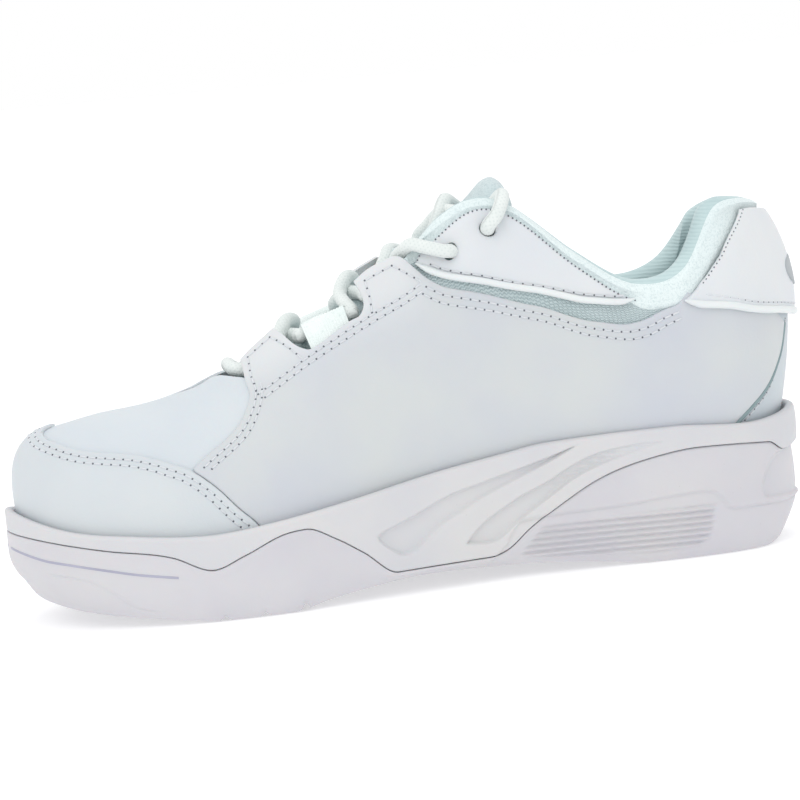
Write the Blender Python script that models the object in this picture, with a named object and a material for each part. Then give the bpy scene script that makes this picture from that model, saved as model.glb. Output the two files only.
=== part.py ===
"""Right-foot low cheer shoe: cup sole, layered leather and mesh upper, padded tongue and collar, lace.

Lengths are in millimetres and become metres when a mesh is made. S runs from the toe tip (0) to the
heel back (LENGTH); the origin is under the middle of the shoe, so the toe points along -X.
The medial (arch) side is -Y.
"""
import math

import bmesh
import bpy
import numpy as np
from mathutils import Vector
from mathutils.geometry import delaunay_2d_cdt

# ---------------------------------------------------------------- driving dimensions
LENGTH = 262.0
CENTRE = (131.9, 1.4)  # S and Y of the middle of the whole shoe's plan, where X and Y are 0
MM = 0.001
MEDIAL, LATERAL = -1, 1
SIDE_NAMES = {MEDIAL: "medial", LATERAL: "lateral"}

SHEET = 1.1           # thickness of a leather, mesh or lining sheet
LAYER_GAP = 0.6       # clearance between stacked sheets
GAP = 0.3             # clearance between fitted pieces
SEAM_GAP = 0.45       # clearance between the midsole and the outsole's sloping walls
UPPER_INSET = 5.0     # foot of the upper, inside the sole's outline
LIP_OUTER, LIP_INNER = 0.8, 2.3      # top of the midsole's lip, inside the outline
CUP_WALL = 4.3        # midsole wall at the footbed
OUTSOLE_WALL = (1.9, 4.0)            # outsole side wall: beside the footbed, and well below it
OUTSOLE_FLOOR = 4.5   # outsole tread thickness
LAST_INSET = 14.0     # strobel board and sockliner, inside the outline
STROBEL = 1.6
SOCKLINER = 4.5
FOAM = 5.2            # collar foam
TONGUE_FOAM = 5.0
LACE_RADIUS = 2.1
EYELET_RADIUS = 3.4
LOOP_WEB = 0.55       # webbing thickness of a lace loop

SOLE_STATIONS = 38    # outline points along each side

# Half outline of the sole, (s, y).
SOLE_MEDIAL = [(0, -5), (5, -21), (17, -34), (36, -42), (58, -46), (82, -46.5), (108, -42), (134, -36),
               (160, -32.5), (188, -32.5), (214, -34), (236, -32), (251, -24), (259, -12.5), (LENGTH, 0)]
SOLE_LATERAL = [(0, -5), (4, 9), (12, 22), (26, 33), (46, 42), (72, 48), (98, 49.5), (128, 46.5),
                (160, 41), (190, 38), (214, 37.5), (236, 34), (251, 25), (259, 13), (LENGTH, 0)]

# Heights along the sole, (s, z): tread edge, outsole seam, midsole top edge, footbed.
TREAD = [(4, 11.2), (8, 8.8), (14, 6.9), (24, 4.9), (33, 3.5), (50, 1.3), (62, 0), (84, 0), (96, 2.3),
         (112, 4.4), (130, 5.4), (150, 4.7), (175, 3.2), (190, 1.5), (203, 0), (243, 0), (250, 1.6),
         (256, 4.2), (LENGTH, 6.5)]
SEAM = [(0, 30), (7, 28.9), (28, 25), (48, 21.3), (60, 16.3), (70, 19.8), (84, 25.2), (90, 25.7),
        (99, 21.6), (108, 15.7), (119, 7.8), (150, 8.0), (156, 9.5), (164, 15.5), (175, 22.3), (185, 27.8),
        (208, 34.5), (220, 35.7), (246, 34), (252, 30.5), (LENGTH, 30)]
TOP_EDGE = [(0, 37.5), (8, 34.2), (16, 31.7), (36, 28.8), (60, 27), (79, 28.7), (100, 31.6), (136, 37.5),
            (157, 40.3), (171, 42.2), (212, 43.2), (240, 41.4), (LENGTH, 43.5)]
BED = [(0, 27), (30, 20.5), (60, 18), (90, 18.5), (130, 25), (175, 31), (215, 33), (LENGTH, 33.5)]
TREAD_INSET = [(0, 7), (20, 4.5), (60, 2.2), (200, 2.2), (240, 2.5), (LENGTH, 5.5)]

# Sections of the lasted upper. t is the share of the way round from the toe tip (0) to the heel back (1).
# Each row: t, foot s, top s, top y, top z, bulge and rise of the lower wall, reach and drop of the upper.
LAST_MEDIAL = [
    (0.00, 0, 22, -5.0, 63.2, 4.5, 26, 18, 0), (0.08, 5, 27, -5.0, 63.8, 4.0, 26, 18, 0),
    (0.16, 18, 36, -4.9, 64.6, 3.0, 25, 20, 0), (0.24, 38, 47, -4.7, 65.6, 2.5, 25, 22, 0),
    (0.32, 58, 57, -4.5, 67.6, 2.0, 26, 22, 0), (0.38, 74, 66, -6.5, 70.6, 2.0, 26, 21, 1),
    (0.44, 90, 80, -11, 80.0, 2.0, 27, 17, 5), (0.50, 106, 97, -14, 90.3, 2.5, 29, 15, 11),
    (0.56, 124, 116, -16, 99.6, 3.0, 31, 12, 16), (0.62, 142, 136, -19, 108.0, 4.0, 32, 10, 19),
    (0.68, 160, 155, -21, 118.0, 5.0, 33, 8, 21), (0.73, 175, 168, -23, 115.5, 5.5, 31, 7, 21),
    (0.79, 192, 187, -27, 98.0, 5.5, 25, 6, 19), (0.85, 210, 207, -29, 86.0, 5.5, 20, 5, 17),
    (0.90, 226, 223, -29, 90.5, 5.5, 22, 5, 18), (0.94, 240, 235, -25, 108.5, 6.5, 28, 6, 25),
    (0.97, 254, 245.5, -17.5, 110.5, 6.5, 30, 9, 26), (1.00, LENGTH, 256, 0, 108.5, 6.5, 28, 13, 26)]
LAST_LATERAL = [
    (0.00, 0, 22, -5.0, 63.2, 4.5, 26, 18, 0), (0.08, 5, 27, -5.0, 63.8, 4.0, 26, 18, 0),
    (0.16, 18, 36, -4.9, 64.6, 3.0, 25, 21, 0), (0.24, 38, 47, -4.7, 65.6, 2.5, 25, 24, 0),
    (0.32, 58, 57, -4.5, 67.6, 2.0, 26, 27, 0), (0.38, 74, 66, -2.0, 70.6, 2.0, 26, 27, 1),
    (0.44, 90, 80, 4.5, 79.0, 2.0, 27, 23, 5), (0.50, 106, 97, 9, 88.5, 2.0, 29, 20, 10),
    (0.56, 124, 116, 13, 97.5, 2.5, 31, 17, 15), (0.62, 142, 136, 17, 106.5, 3.0, 32, 13, 19),
    (0.68, 160, 155, 20, 116.0, 4.0, 33, 11, 21), (0.73, 175, 168, 23, 113.5, 4.5, 31, 9, 21),
    (0.79, 192, 187, 27, 96.5, 5.0, 25, 7, 19), (0.85, 210, 207, 30, 85.5, 5.0, 20, 6, 17),
    (0.90, 226, 225, 30, 88.5, 5.5, 22, 6, 18), (0.94, 240, 239, 25, 103.5, 6.0, 28, 6, 25),
    (0.97, 254, 248, 16, 108.5, 6.5, 30, 9, 26), (1.00, LENGTH, 256, 0, 108.5, 6.5, 28, 13, 26)]
THROAT = 0.36         # t where the two sides part at the bottom of the lacing

# Pattern lines on the upper, (t, v): v is the share of the way up from the sole to the top edge.
MUDGUARD_EDGE = [(0, 0.75), (0.037, 0.68), (0.10, 0.60), (0.15, 0.557), (0.22, 0.527), (0.263, 0.49),
                 (0.29, 0.45), (0.314, 0.405), (0.343, 0.31), (0.366, 0.21), (0.388, 0.125), (0.405, 0.0)]
QUARTER_FRONT = [(0.318, 0.41), (0.341, 0.465), (0.367, 0.517), (0.391, 0.573), (0.41, 0.647),
                 (0.419, 0.71), (0.421, 0.785), (0.43, 0.935)]
QUARTER_TOP = [(0.475, 0.975), (0.485, 0.833), (0.492, 0.785), (0.503, 0.765), (0.54, 0.80),
               (0.555, 0.807), (0.562, 0.863), (0.562, 0.975), (0.603, 0.985), (0.615, 0.893),
               (0.625, 0.82), (0.642, 0.738), (0.676, 0.647), (0.715, 0.603), (0.754, 0.62),
               (0.79, 0.685), (0.819, 0.753), (0.839, 0.818), (0.864, 0.89), (0.882, 0.90)]
HEEL_TAB_LOW = [(0.888, 0.90), (0.909, 0.77), (0.927, 0.628), (0.953, 0.542), (0.98, 0.52), (1, 0.515)]
HEEL_TAB_FRONT = [(0.964, 0.985), (0.958, 0.955), (0.948, 0.912), (0.938, 0.88), (0.93, 0.865),
                  (0.916, 0.885), (0.906, 0.905), (0.895, 0.922)]
QUARTER_REAR = [(0.983, 0.50), (0.976, 0.36), (0.968, 0.285), (0.957, 0.21), (0.945, 0.165), (0.925, 0.13),
                (0.915, 0.0)]
PANEL_LOW = [(0.628, 0.86), (0.634, 0.828), (0.661, 0.718), (0.718, 0.652), (0.776, 0.753), (0.811, 0.85),
             (0.831, 0.92), (0.842, 0.955)]
PANEL_TOP = [(0.811, 0.955), (0.764, 0.96), (0.739, 0.955), (0.718, 0.975), (0.676, 0.985), (0.64, 0.965)]
UNDER_TABS = 0.72     # top of the mesh and lining along the lower eyestay, below the lace loops
EYELETS = [(0.650, 0.875), (0.693, 0.90)]

# Tongue sections: s, centre y, centre z, half width, arch (drop = arch * offset squared).
TONGUE = [(62, -4.5, 60.0, 11, 0.040), (72, -4.0, 64.0, 13, 0.045), (84, -3.2, 73.8, 15, 0.045),
          (97, -2.5, 83.0, 16, 0.048), (116, -1.8, 93.7, 16, 0.053), (136, -1.0, 105.0, 14.5, 0.058),
          (155, -0.5, 116.5, 13.5, 0.060), (164, 0.0, 122.3, 13, 0.060), (170, 0.0, 126.0, 10, 0.060)]
TONGUE_HINGE = (62.0, 60.0)          # s, z of the seam at the throat
TONGUE_SLOPE = 1.13                  # vertical depth for a depth of one square to the rising tongue

# Lace loops: t where each one starts and ends along the edge of the eyestay, and the bore's v and depth.
LACE_LOOPS = {"low": (0.440, 0.466), "mid": (0.507, 0.540), "high": (0.572, 0.594)}
LOOP_V, LOOP_DEPTH, LOOP_TAIL_V = 0.93, 5.0, 0.76
LOOP_TAIL = 11.0      # sewn tail of a lace loop
LACE_STEP = 9.0       # spacing of the lace's points
AGLET_LENGTH, AGLET_RADIUS = 18.0, 1.7

# Common grid of every sheet.
T_LINES = ([i * 0.026 for i in range(11)] + [0.29 + i * 0.0325 for i in range(19)]
           + [0.9, 0.92, 0.94, 0.958, 0.972, 0.986, 1.0])
V_LINES = [0.0, 0.12, 0.24, 0.36, 0.47, 0.58, 0.69, 0.8, 0.9, 1.0]


# ---------------------------------------------------------------- curves and the lasted surface
def ease(keys, x, shaped=False):
    """Smooth curve through rows of (x, value...); a shaped one never swings past its points."""
    rows = np.asarray(keys, float)
    knots, values = rows[:, 0], rows[:, 1:]
    x = np.clip(np.atleast_1d(np.asarray(x, float)), knots[0], knots[-1])
    i = np.clip(np.searchsorted(knots, x, side="right") - 1, 0, len(knots) - 2)
    step = np.diff(knots)[:, None]
    rise = np.diff(values, axis=0) / step
    slope = np.empty_like(values)
    slope[0], slope[-1] = rise[0], rise[-1]
    slope[1:-1] = (rise[:-1] * step[1:] + rise[1:] * step[:-1]) / (step[:-1] + step[1:])
    if shaped:
        same_way = rise[:-1] * rise[1:] > 0
        steepest = 2 * np.minimum(np.abs(rise[:-1]), np.abs(rise[1:]))
        slope[1:-1] = np.where(same_way, np.sign(slope[1:-1]) * np.minimum(np.abs(slope[1:-1]), steepest), 0)
    h = step[i]
    u = ((x - knots[i]) / h[:, 0])[:, None]
    return ((1 + 2 * u) * (1 - u) ** 2 * values[i] + u * (1 - u) ** 2 * h * slope[i]
            + u * u * (3 - 2 * u) * values[i + 1] - u * u * (1 - u) * h * slope[i + 1])


def level(keys, x):
    return ease(keys, x, shaped=True)[:, 0]


def wrapped(table, other):
    """A side's table (first column 0 to 1) carried on past both ends by the other side's rows."""
    before = [(-row[0], *row[1:]) for row in other[2:0:-1]]
    after = [(2 - row[0], *row[1:]) for row in other[-2:-4:-1]]
    return before + list(table) + after


def turn(s):
    """Angle share round a half outline: 0 at the toe tip, 1 at the heel back."""
    return np.arccos(np.clip(1 - 2 * np.asarray(s, float) / LENGTH, -1, 1)) / math.pi


def outline_at(side, u):
    """Point (s, y) of the sole's outline at angle share u."""
    by_turn = [[(float(turn(s)), y) for s, y in keys] for keys in (SOLE_MEDIAL, SOLE_LATERAL)]
    y = ease(wrapped(*by_turn[::-side]), u)[:, 0]
    return np.stack([LENGTH * (1 - np.cos(math.pi * np.asarray(u))) / 2, y], 1)


def outward(side, u):
    """Horizontal outward direction of the outline."""
    step = 0.004
    along = outline_at(side, np.clip(u + step, 0, 1)) - outline_at(side, np.clip(u - step, 0, 1))
    out = np.stack([-along[:, 1] * side, along[:, 0] * side], 1)
    out /= np.linalg.norm(out, axis=1)[:, None]
    out[u < 1e-6] = (-1, 0)
    out[u > 1 - 1e-6] = (1, 0)
    return out


def inset_outline(side, u, inset):
    inset = np.broadcast_to(np.asarray(inset, float), np.shape(u))
    return outline_at(side, u) - outward(side, u) * inset[:, None]


def last_controls(side, t):
    """Four control points of the upper's wall curve at t."""
    table = wrapped(*(LAST_MEDIAL, LAST_LATERAL)[::-side])
    foot_s, top_s, top_y, top_z, bulge, rise, reach, drop = ease(table, t).T
    u = turn(foot_s)
    out = outward(side, u)
    foot = inset_outline(side, u, UPPER_INSET)
    foot = np.column_stack([foot, level(BED, foot[:, 0])])
    top = np.column_stack([top_s, top_y, top_z])
    lean = foot[:, :2] - top[:, :2]
    lean /= np.linalg.norm(lean, axis=1)[:, None]
    ahead, behind = ease(table, t + 0.01), ease(table, np.maximum(t - 0.01, 0.0))
    ridge_slope = (ahead[:, 3] - behind[:, 3]) / (ahead[:, 1] - behind[:, 1])
    on_ridge = np.clip((THROAT + 0.04 - t) / 0.06, 0, 1)
    low = foot + np.column_stack([out * bulge[:, None], rise])
    high = top + np.column_stack([lean * reach[:, None], on_ridge * ridge_slope * lean[:, 0] * reach - drop])
    return foot, low, high, top


def last_point(side, t, v):
    foot, low, high, top = last_controls(side, t)
    v = v[:, None]
    return (1 - v) ** 3 * foot + 3 * v * (1 - v) ** 2 * low + 3 * v * v * (1 - v) * high + v ** 3 * top


def last_normal(side, t, v):
    """Outward unit normal of the lasted surface, read just off the toe where the ridge begins."""
    step = 0.004
    t = np.maximum(t, 0.03 * np.clip((v - 0.85) / 0.1, 0, 1))
    along = last_point(side, np.clip(t + step, 0, 1), v) - last_point(side, np.clip(t - step, 0, 1), v)
    up = last_point(side, t, np.clip(v + step, 0, 1)) - last_point(side, t, np.clip(v - step, 0, 1))
    normal = np.cross(along, up) * -side
    return normal / np.linalg.norm(normal, axis=1)[:, None]


# ---------------------------------------------------------------- meshes
def material(name, colour, roughness, metallic=0.0):
    mat = bpy.data.materials.new(name)
    mat.use_nodes = True
    shader = mat.node_tree.nodes["Principled BSDF"]
    shader.inputs["Base Color"].default_value = (*colour, 1)
    shader.inputs["Roughness"].default_value = roughness
    shader.inputs["Metallic"].default_value = metallic
    mat.diffuse_color = (*colour, 1)
    return mat


LEATHER = dict(colour=(0.72, 0.76, 0.80), roughness=0.42)
MESH = dict(colour=(0.50, 0.60, 0.62), roughness=0.85)
SOLE = dict(colour=(0.70, 0.70, 0.72), roughness=0.55)
BOARD = dict(colour=(0.62, 0.58, 0.50), roughness=0.9)
FOAM_LOOK = dict(colour=(0.75, 0.72, 0.62), roughness=0.95)
WEBBING = dict(colour=(0.75, 0.80, 0.80), roughness=0.8)
PLASTIC = dict(colour=(0.78, 0.80, 0.82), roughness=0.35)


def finish(name, points, faces, look, origin=(0.0, 0.0, 0.0)):
    """Make an object from millimetre points; its origin sits at the given point of the shoe."""
    origin = np.asarray(origin, float)
    offset = np.array([*CENTRE, 0])
    mesh = bpy.data.meshes.new(name)
    mesh.from_pydata([tuple(p) for p in (np.asarray(points) - offset - origin) * MM], [], faces)
    bm = bmesh.new()
    bm.from_mesh(mesh)
    bmesh.ops.recalc_face_normals(bm, faces=bm.faces)
    bm.to_mesh(mesh)
    bm.free()
    mesh.shade_smooth()
    mesh.set_sharp_from_angle(angle=math.radians(40))
    obj = bpy.data.objects.new(name, mesh)
    obj.location = origin * MM
    bpy.context.collection.objects.link(obj)
    mesh.materials.append(material(name, **look))
    return obj


def sides_loop(medial, lateral):
    """Join the points of both half outlines into one closed loop, toe tip first."""
    return np.concatenate([medial, lateral[-2:0:-1]])


def loft(name, rings, look):
    """Closed solid through outline rings; the first and last ring are capped from side to side."""
    count = len(rings[0])
    half = count // 2
    points = np.concatenate(rings)
    faces = []
    for level_index in range(len(rings) - 1):
        low, high = level_index * count, (level_index + 1) * count
        for i in range(count):
            j = (i + 1) % count
            faces += [(low + i, low + j, high + j), (low + i, high + j, high + i)]
    for start in (0, (len(rings) - 1) * count):
        for i in range(half):
            quad = [start + i, start + i + 1, start + (count - i - 1) % count, start + (count - i) % count]
            faces.append(tuple(dict.fromkeys(quad)))
    return finish(name, points, faces, look)


def ring(inset, height, crown=0.0):
    """Outline ring at an inset; inset and height are numbers or functions of s."""
    u = np.linspace(0, 1, SOLE_STATIONS + 1)
    halves = []
    for side in (MEDIAL, LATERAL):
        s = outline_at(side, u)[:, 0]
        flat = inset_outline(side, u, inset(s) if callable(inset) else inset)
        halves.append(np.column_stack([flat, height(flat[:, 0]) + crown]))
    return sides_loop(*halves)


def inside(loop, points):
    """Which points lie inside a closed loop (even-odd rule)."""
    hit = np.zeros(len(points), bool)
    x, y = points[:, 0], points[:, 1]
    for (x0, y0), (x1, y1) in zip(loop, np.roll(loop, -1, axis=0)):
        if y0 == y1:
            continue
        crosses = (y0 > y) != (y1 > y)
        hit ^= crosses & (x < (x1 - x0) * (y - y0) / (y1 - y0) + x0)
    return hit


SPREAD = np.array([560.0, 85.0])     # millimetres for one unit of t and of v
SLIVER = 0.01                        # twice the area of a triangle that is only a rounding error


def dense(loop, longest=9.0):
    """Split a closed (t, v) loop so that no side is longer than about longest millimetres."""
    loop = np.asarray(loop, float)
    points = []
    for a, b in zip(loop, np.roll(loop, -1, axis=0)):
        count = max(1, math.ceil(np.linalg.norm((b - a) * SPREAD) / longest))
        points += [a + (b - a) * i / count for i in range(count)]
    return np.array(points)


def fill(loops, extra=None):
    """Triangles between an outline and its holes: points and index triples. The first loop is the outline."""
    points = np.concatenate(loops + ([] if extra is None else [extra]))
    edges, start = [], 0
    for loop in loops:
        n = len(loop)
        edges += [(start + i, start + (i + 1) % n) for i in range(n)]
        start += n
    verts, _, triangles, *_ = delaunay_2d_cdt([Vector(p) for p in points], edges, [], 0, 1e-6)
    verts = np.array([tuple(p) for p in verts])
    corners = np.array([verts[list(tri)] for tri in triangles])
    middles = corners.mean(axis=1)
    one, two = corners[:, 1] - corners[:, 0], corners[:, 2] - corners[:, 0]
    kept = inside(loops[0], middles) & (np.abs(one[:, 0] * two[:, 1] - one[:, 1] * two[:, 0]) > SLIVER)
    for hole in loops[1:]:
        kept &= ~inside(hole, middles)
    return verts, [tri for tri, good in zip(triangles, kept) if good]


def clear_of(loop, points, margin):
    """Which points lie further than margin from every side of a loop."""
    closest = np.full(len(points), np.inf)
    for a, b in zip(loop, np.roll(loop, -1, axis=0)):
        along = b - a
        share = np.clip(((points - a) @ along) / (along @ along), 0, 1)
        closest = np.minimum(closest, np.linalg.norm(points - a - share[:, None] * along, axis=1))
    return closest > margin


def cut_sheet(side, loop, holes=(), margin=2.2):
    """A pattern piece on one side: its (t, v) points and its triangles, on the grid that all sheets share."""
    loops = [dense(loop) * SPREAD] + [np.asarray(hole) * SPREAD for hole in holes]
    grid = np.array([(t, v) for t in T_LINES for v in V_LINES]) * SPREAD
    keep = inside(loops[0], grid)
    for edge in loops:
        keep &= clear_of(edge, grid, margin)
    for hole in loops[1:]:
        keep &= ~inside(hole, grid)
    verts, triangles = fill(loops, grid[keep])
    return side, verts / SPREAD, triangles


def round_hole(side, t, v, radius, corners=8):
    """(t, v) loop of a round hole of a true radius."""
    step = 0.003
    one = np.ones(1)
    start = last_point(side, one * t, one * v)
    dt = np.linalg.norm(last_point(side, one * (t + step), one * v) - start) / step
    dv = np.linalg.norm(last_point(side, one * t, one * (v + step)) - start) / step
    turns = [2 * math.pi * i / corners for i in range(corners)]
    return np.array([(t + radius * math.cos(a) / dt, v + radius * math.sin(a) / dv) for a in turns])


def broad(corners):
    """False for a triangle that lies flat on the ridge line, where both sides meet."""
    return np.linalg.norm(np.cross(corners[1] - corners[0], corners[2] - corners[0])) > 8 * SLIVER


def shell(name, sheets, top, thickness, look):
    """Closed sheet: cut sheets welded where they meet, between depth top and top + thickness inside the last.

    top and thickness are numbers or functions of (t, v).
    """
    index, points, normals, depths, thick, faces = {}, [], [], [], [], []
    for side, tv, triangles in sheets:
        p = last_point(side, tv[:, 0], tv[:, 1])
        n = last_normal(side, tv[:, 0], tv[:, 1])
        near = top(tv[:, 0], tv[:, 1]) if callable(top) else np.full(len(tv), top)
        width = thickness(tv[:, 0], tv[:, 1]) if callable(thickness) else np.full(len(tv), thickness)
        triangles = [tri for tri in triangles if broad(p[list(tri)])]
        used = {k for tri in triangles for k in tri}
        ids = [None] * len(tv)
        for k in sorted(used):
            key = tuple(np.round(p[k], 2))
            if key not in index:
                index[key] = len(points)
                points.append(p[k])
                normals.append(np.zeros(3))
                depths.append(near[k])
                thick.append(width[k])
            normals[index[key]] += n[k]
            ids[k] = index[key]
        for tri in triangles:
            a, b, c = (ids[i] for i in tri)
            if len({a, b, c}) < 3:
                continue
            facing = np.cross(points[b] - points[a], points[c] - points[a]) @ n[list(tri)].sum(axis=0)
            faces.append((a, b, c) if facing > 0 else (a, c, b))
    points, normals = np.array(points), np.array(normals)
    normals /= np.linalg.norm(normals, axis=1)[:, None]
    depths, thick = np.array(depths)[:, None], np.array(thick)[:, None]
    outer, inner = points - normals * depths, points - normals * (depths + thick)
    count = len(points)
    sides = {}
    for a, b, c in faces:
        for edge in ((a, b), (b, c), (c, a)):
            sides[edge] = True
    rim = [(b, a, a + count, b + count) for a, b in sides if (b, a) not in sides]
    back = [(a + count, c + count, b + count) for a, b, c in faces]
    return finish(name, np.concatenate([outer, inner]), faces + back + rim, look)


# ---------------------------------------------------------------- sole
def outsole_wall(s):
    """Wall thickness of the outsole, thin where its edge climbs beside the footbed."""
    thin, full = OUTSOLE_WALL
    return thin + (full - thin) * np.clip((level(BED, s) - level(SEAM, s) - 1) / 5, 0, 1)


def sole_seam(s):
    return level(SEAM, s)


def outsole_floor(s):
    """Height of the outsole's inner floor."""
    return np.minimum(level(TREAD, s) + OUTSOLE_FLOOR, level(SEAM, s) - 0.6)


def floor_inset(s):
    """Inset of the outsole's inner floor, which follows the tread where the toe and heel roll up."""
    return np.maximum(outsole_wall(s) + 1.0, level(TREAD_INSET, s))


def make_outsole():
    tread = lambda s: level(TREAD, s)
    edge = lambda s: level(TREAD_INSET, s)
    shoulder = lambda s: tread(s) + np.minimum(6.5, 0.45 * (sole_seam(s) - tread(s)))
    rings = [ring(edge, tread), ring(lambda s: edge(s) * 0.3, shoulder), ring(0.0, sole_seam),
             ring(outsole_wall, sole_seam), ring(floor_inset, outsole_floor)]
    loft("outsole", rings, SOLE)


def make_midsole():
    top = lambda s: level(TOP_EDGE, s)
    middle = lambda s: 0.4 * sole_seam(s) + 0.6 * top(s)
    bed = lambda s: level(BED, s) - 0.4
    rings = [ring(CUP_WALL, bed), ring(LIP_INNER, top), ring(LIP_OUTER, top), ring(0.0, middle),
             ring(0.0, sole_seam, SEAM_GAP), ring(lambda s: outsole_wall(s) + SEAM_GAP, sole_seam, SEAM_GAP),
             ring(lambda s: floor_inset(s) + SEAM_GAP, outsole_floor, SEAM_GAP)]
    loft("midsole", rings, SOLE)


def make_boards():
    bed = lambda s: level(BED, s)
    loft("strobel_board", [ring(LAST_INSET, bed), ring(LAST_INSET, bed, STROBEL)], BOARD)
    base = STROBEL + GAP
    loft("sockliner", [ring(LAST_INSET, bed, base), ring(LAST_INSET - 0.4, bed, base + SOCKLINER)], FOAM_LOOK)


# ---------------------------------------------------------------- upper
LAYER = SHEET + LAYER_GAP
TOE_PUFF_END, COUNTER_START, COUNTER_TOP = 0.17, 0.86, 0.44
COLLAR_START, FOAM_LOW = 0.72, 0.52


def lining_depth(t, v):
    """Depth of the lining's outer face: behind the toe puff, the heel counter and the collar foam."""
    depth = np.full(len(t), 2 * LAYER)
    toe = np.clip((0.30 - t) / 0.10, 0, 1)
    counter = np.clip((t - 0.78) / 0.05, 0, 1) * np.clip((0.62 - v) / 0.08, 0, 1)
    foam = np.clip((t - 0.70) / 0.06, 0, 1) * np.clip((v - 0.36) / 0.12, 0, 1)
    depth = np.maximum(depth, 2 * LAYER + LAYER * np.maximum(toe, counter))
    return np.maximum(depth, 2 * LAYER + (FOAM + 2 * LAYER_GAP) * foam)


def foam_thickness(t, v):
    """Foam thins to its front end and its lower edge."""
    end = np.clip((t - COLLAR_START) / 0.05, 0, 1)
    low = np.clip((v - FOAM_LOW) / 0.14, 0, 1)
    return 1.0 + (FOAM - 1.0) * np.minimum(end, low)


def both_sides(loop_of_side, holes_of_side=None):
    return [cut_sheet(side, loop_of_side, holes_of_side(side) if holes_of_side else ())
            for side in (MEDIAL, LATERAL)]


def eyelet_holes(side):
    return [round_hole(side, t, v, EYELET_RADIUS) for t, v in EYELETS]


def make_vamp():
    low = [(t, 0.0) for t in (0.42, 0.0)]
    ridge = [(0.0, 1.0), (THROAT, 1.0), (0.39, 0.90), (0.44, UNDER_TABS)]
    piece = low + ridge + [(0.455, 0.55)]
    shell("vamp", both_sides(piece), LAYER, SHEET, LEATHER)


def make_toe_puff():
    piece = [(TOE_PUFF_END, 0.02), (0.0, 0.02), (0.0, 0.72), (TOE_PUFF_END, 0.6)]
    shell("toe_puff", both_sides(piece), 2 * LAYER, SHEET, PLASTIC)


def make_vamp_lining():
    piece = [(0.44, 0.0), (0.0, 0.0), (0.0, 1.0), (THROAT, 1.0), (0.39, 0.90), (0.44, UNDER_TABS)]
    shell("vamp_lining", both_sides(piece), lining_depth, SHEET, MESH)


def make_mudguard():
    piece = [(0.405, 0.0), (0.0, 0.0)] + MUDGUARD_EDGE[:-1]
    shell("mudguard", both_sides(piece), 0.0, SHEET, LEATHER)


def make_quarters():
    front_low = [(t + 0.004, v) for t, v in MUDGUARD_EDGE[::-1] if v < 0.405]
    piece = front_low + QUARTER_FRONT + QUARTER_TOP
    piece += [(t - 0.004, v) for t, v in HEEL_TAB_LOW[1:-1]][:3] + [(0.974, 0.505)] + QUARTER_REAR[1:]
    for side, label in SIDE_NAMES.items():
        shell("quarter_" + label, [cut_sheet(side, piece)], 0.0, SHEET, LEATHER)


def make_underlays():
    """Knit mesh that shows between the eyelet panel and the quarter and along the collar."""
    piece = [(0.46, 0.50), (0.62, 0.42), (0.72, 0.38), (0.90, 0.60), (0.935, 0.70), (0.958, 0.90),
             (0.962, 1.0), (0.642, 1.0), (0.636, 0.84), (0.61, UNDER_TABS), (0.46, UNDER_TABS)]
    for side, label in SIDE_NAMES.items():
        shell("collar_mesh_" + label, [cut_sheet(side, piece, eyelet_holes(side))], LAYER, SHEET, MESH)


def make_eyelet_panels():
    for side, label in SIDE_NAMES.items():
        sheet = cut_sheet(side, PANEL_LOW + PANEL_TOP, eyelet_holes(side))
        shell("eyelet_panel_" + label, [sheet], 0.0, SHEET, LEATHER)


def make_heel():
    tab = [(1.0, 0.515), (1.0, 0.985)] + HEEL_TAB_FRONT + HEEL_TAB_LOW[:-1]
    shell("heel_tab", both_sides(tab), 0.0, SHEET, LEATHER)
    stay = [(1.0, 0.0), (1.0, 0.58), (0.955, 0.60), (0.93, 0.45), (0.90, 0.12), (0.895, 0.0)]
    shell("backstay", both_sides(stay), LAYER, SHEET, LEATHER)
    counter = [(1.0, 0.02), (1.0, COUNTER_TOP), (0.90, COUNTER_TOP - 0.04), (COUNTER_START, 0.2),
               (COUNTER_START, 0.02)]
    shell("heel_counter", both_sides(counter), 2 * LAYER, SHEET, PLASTIC)


def make_collar():
    foam = [(1.0, FOAM_LOW), (1.0, 1.0), (COLLAR_START, 1.0), (COLLAR_START, 0.62), (0.78, FOAM_LOW)]
    shell("collar_padding", both_sides(foam), 2 * LAYER + 0.3, foam_thickness, FOAM_LOOK)
    lining = [(1.0, 0.0), (1.0, 1.0), (0.642, 1.0), (0.636, 0.84), (0.61, UNDER_TABS), (0.452, UNDER_TABS),
              (0.448, 0.0)]
    shell("collar_lining", both_sides(lining, eyelet_holes), lining_depth, SHEET, MESH)


# ---------------------------------------------------------------- tongue
def tongue_surface(s, y):
    """Height of the tongue's face at s and y."""
    centre_y, centre_z, _, arch = ease(TONGUE, s).T
    return centre_z - arch * (y - centre_y) ** 2


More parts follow.
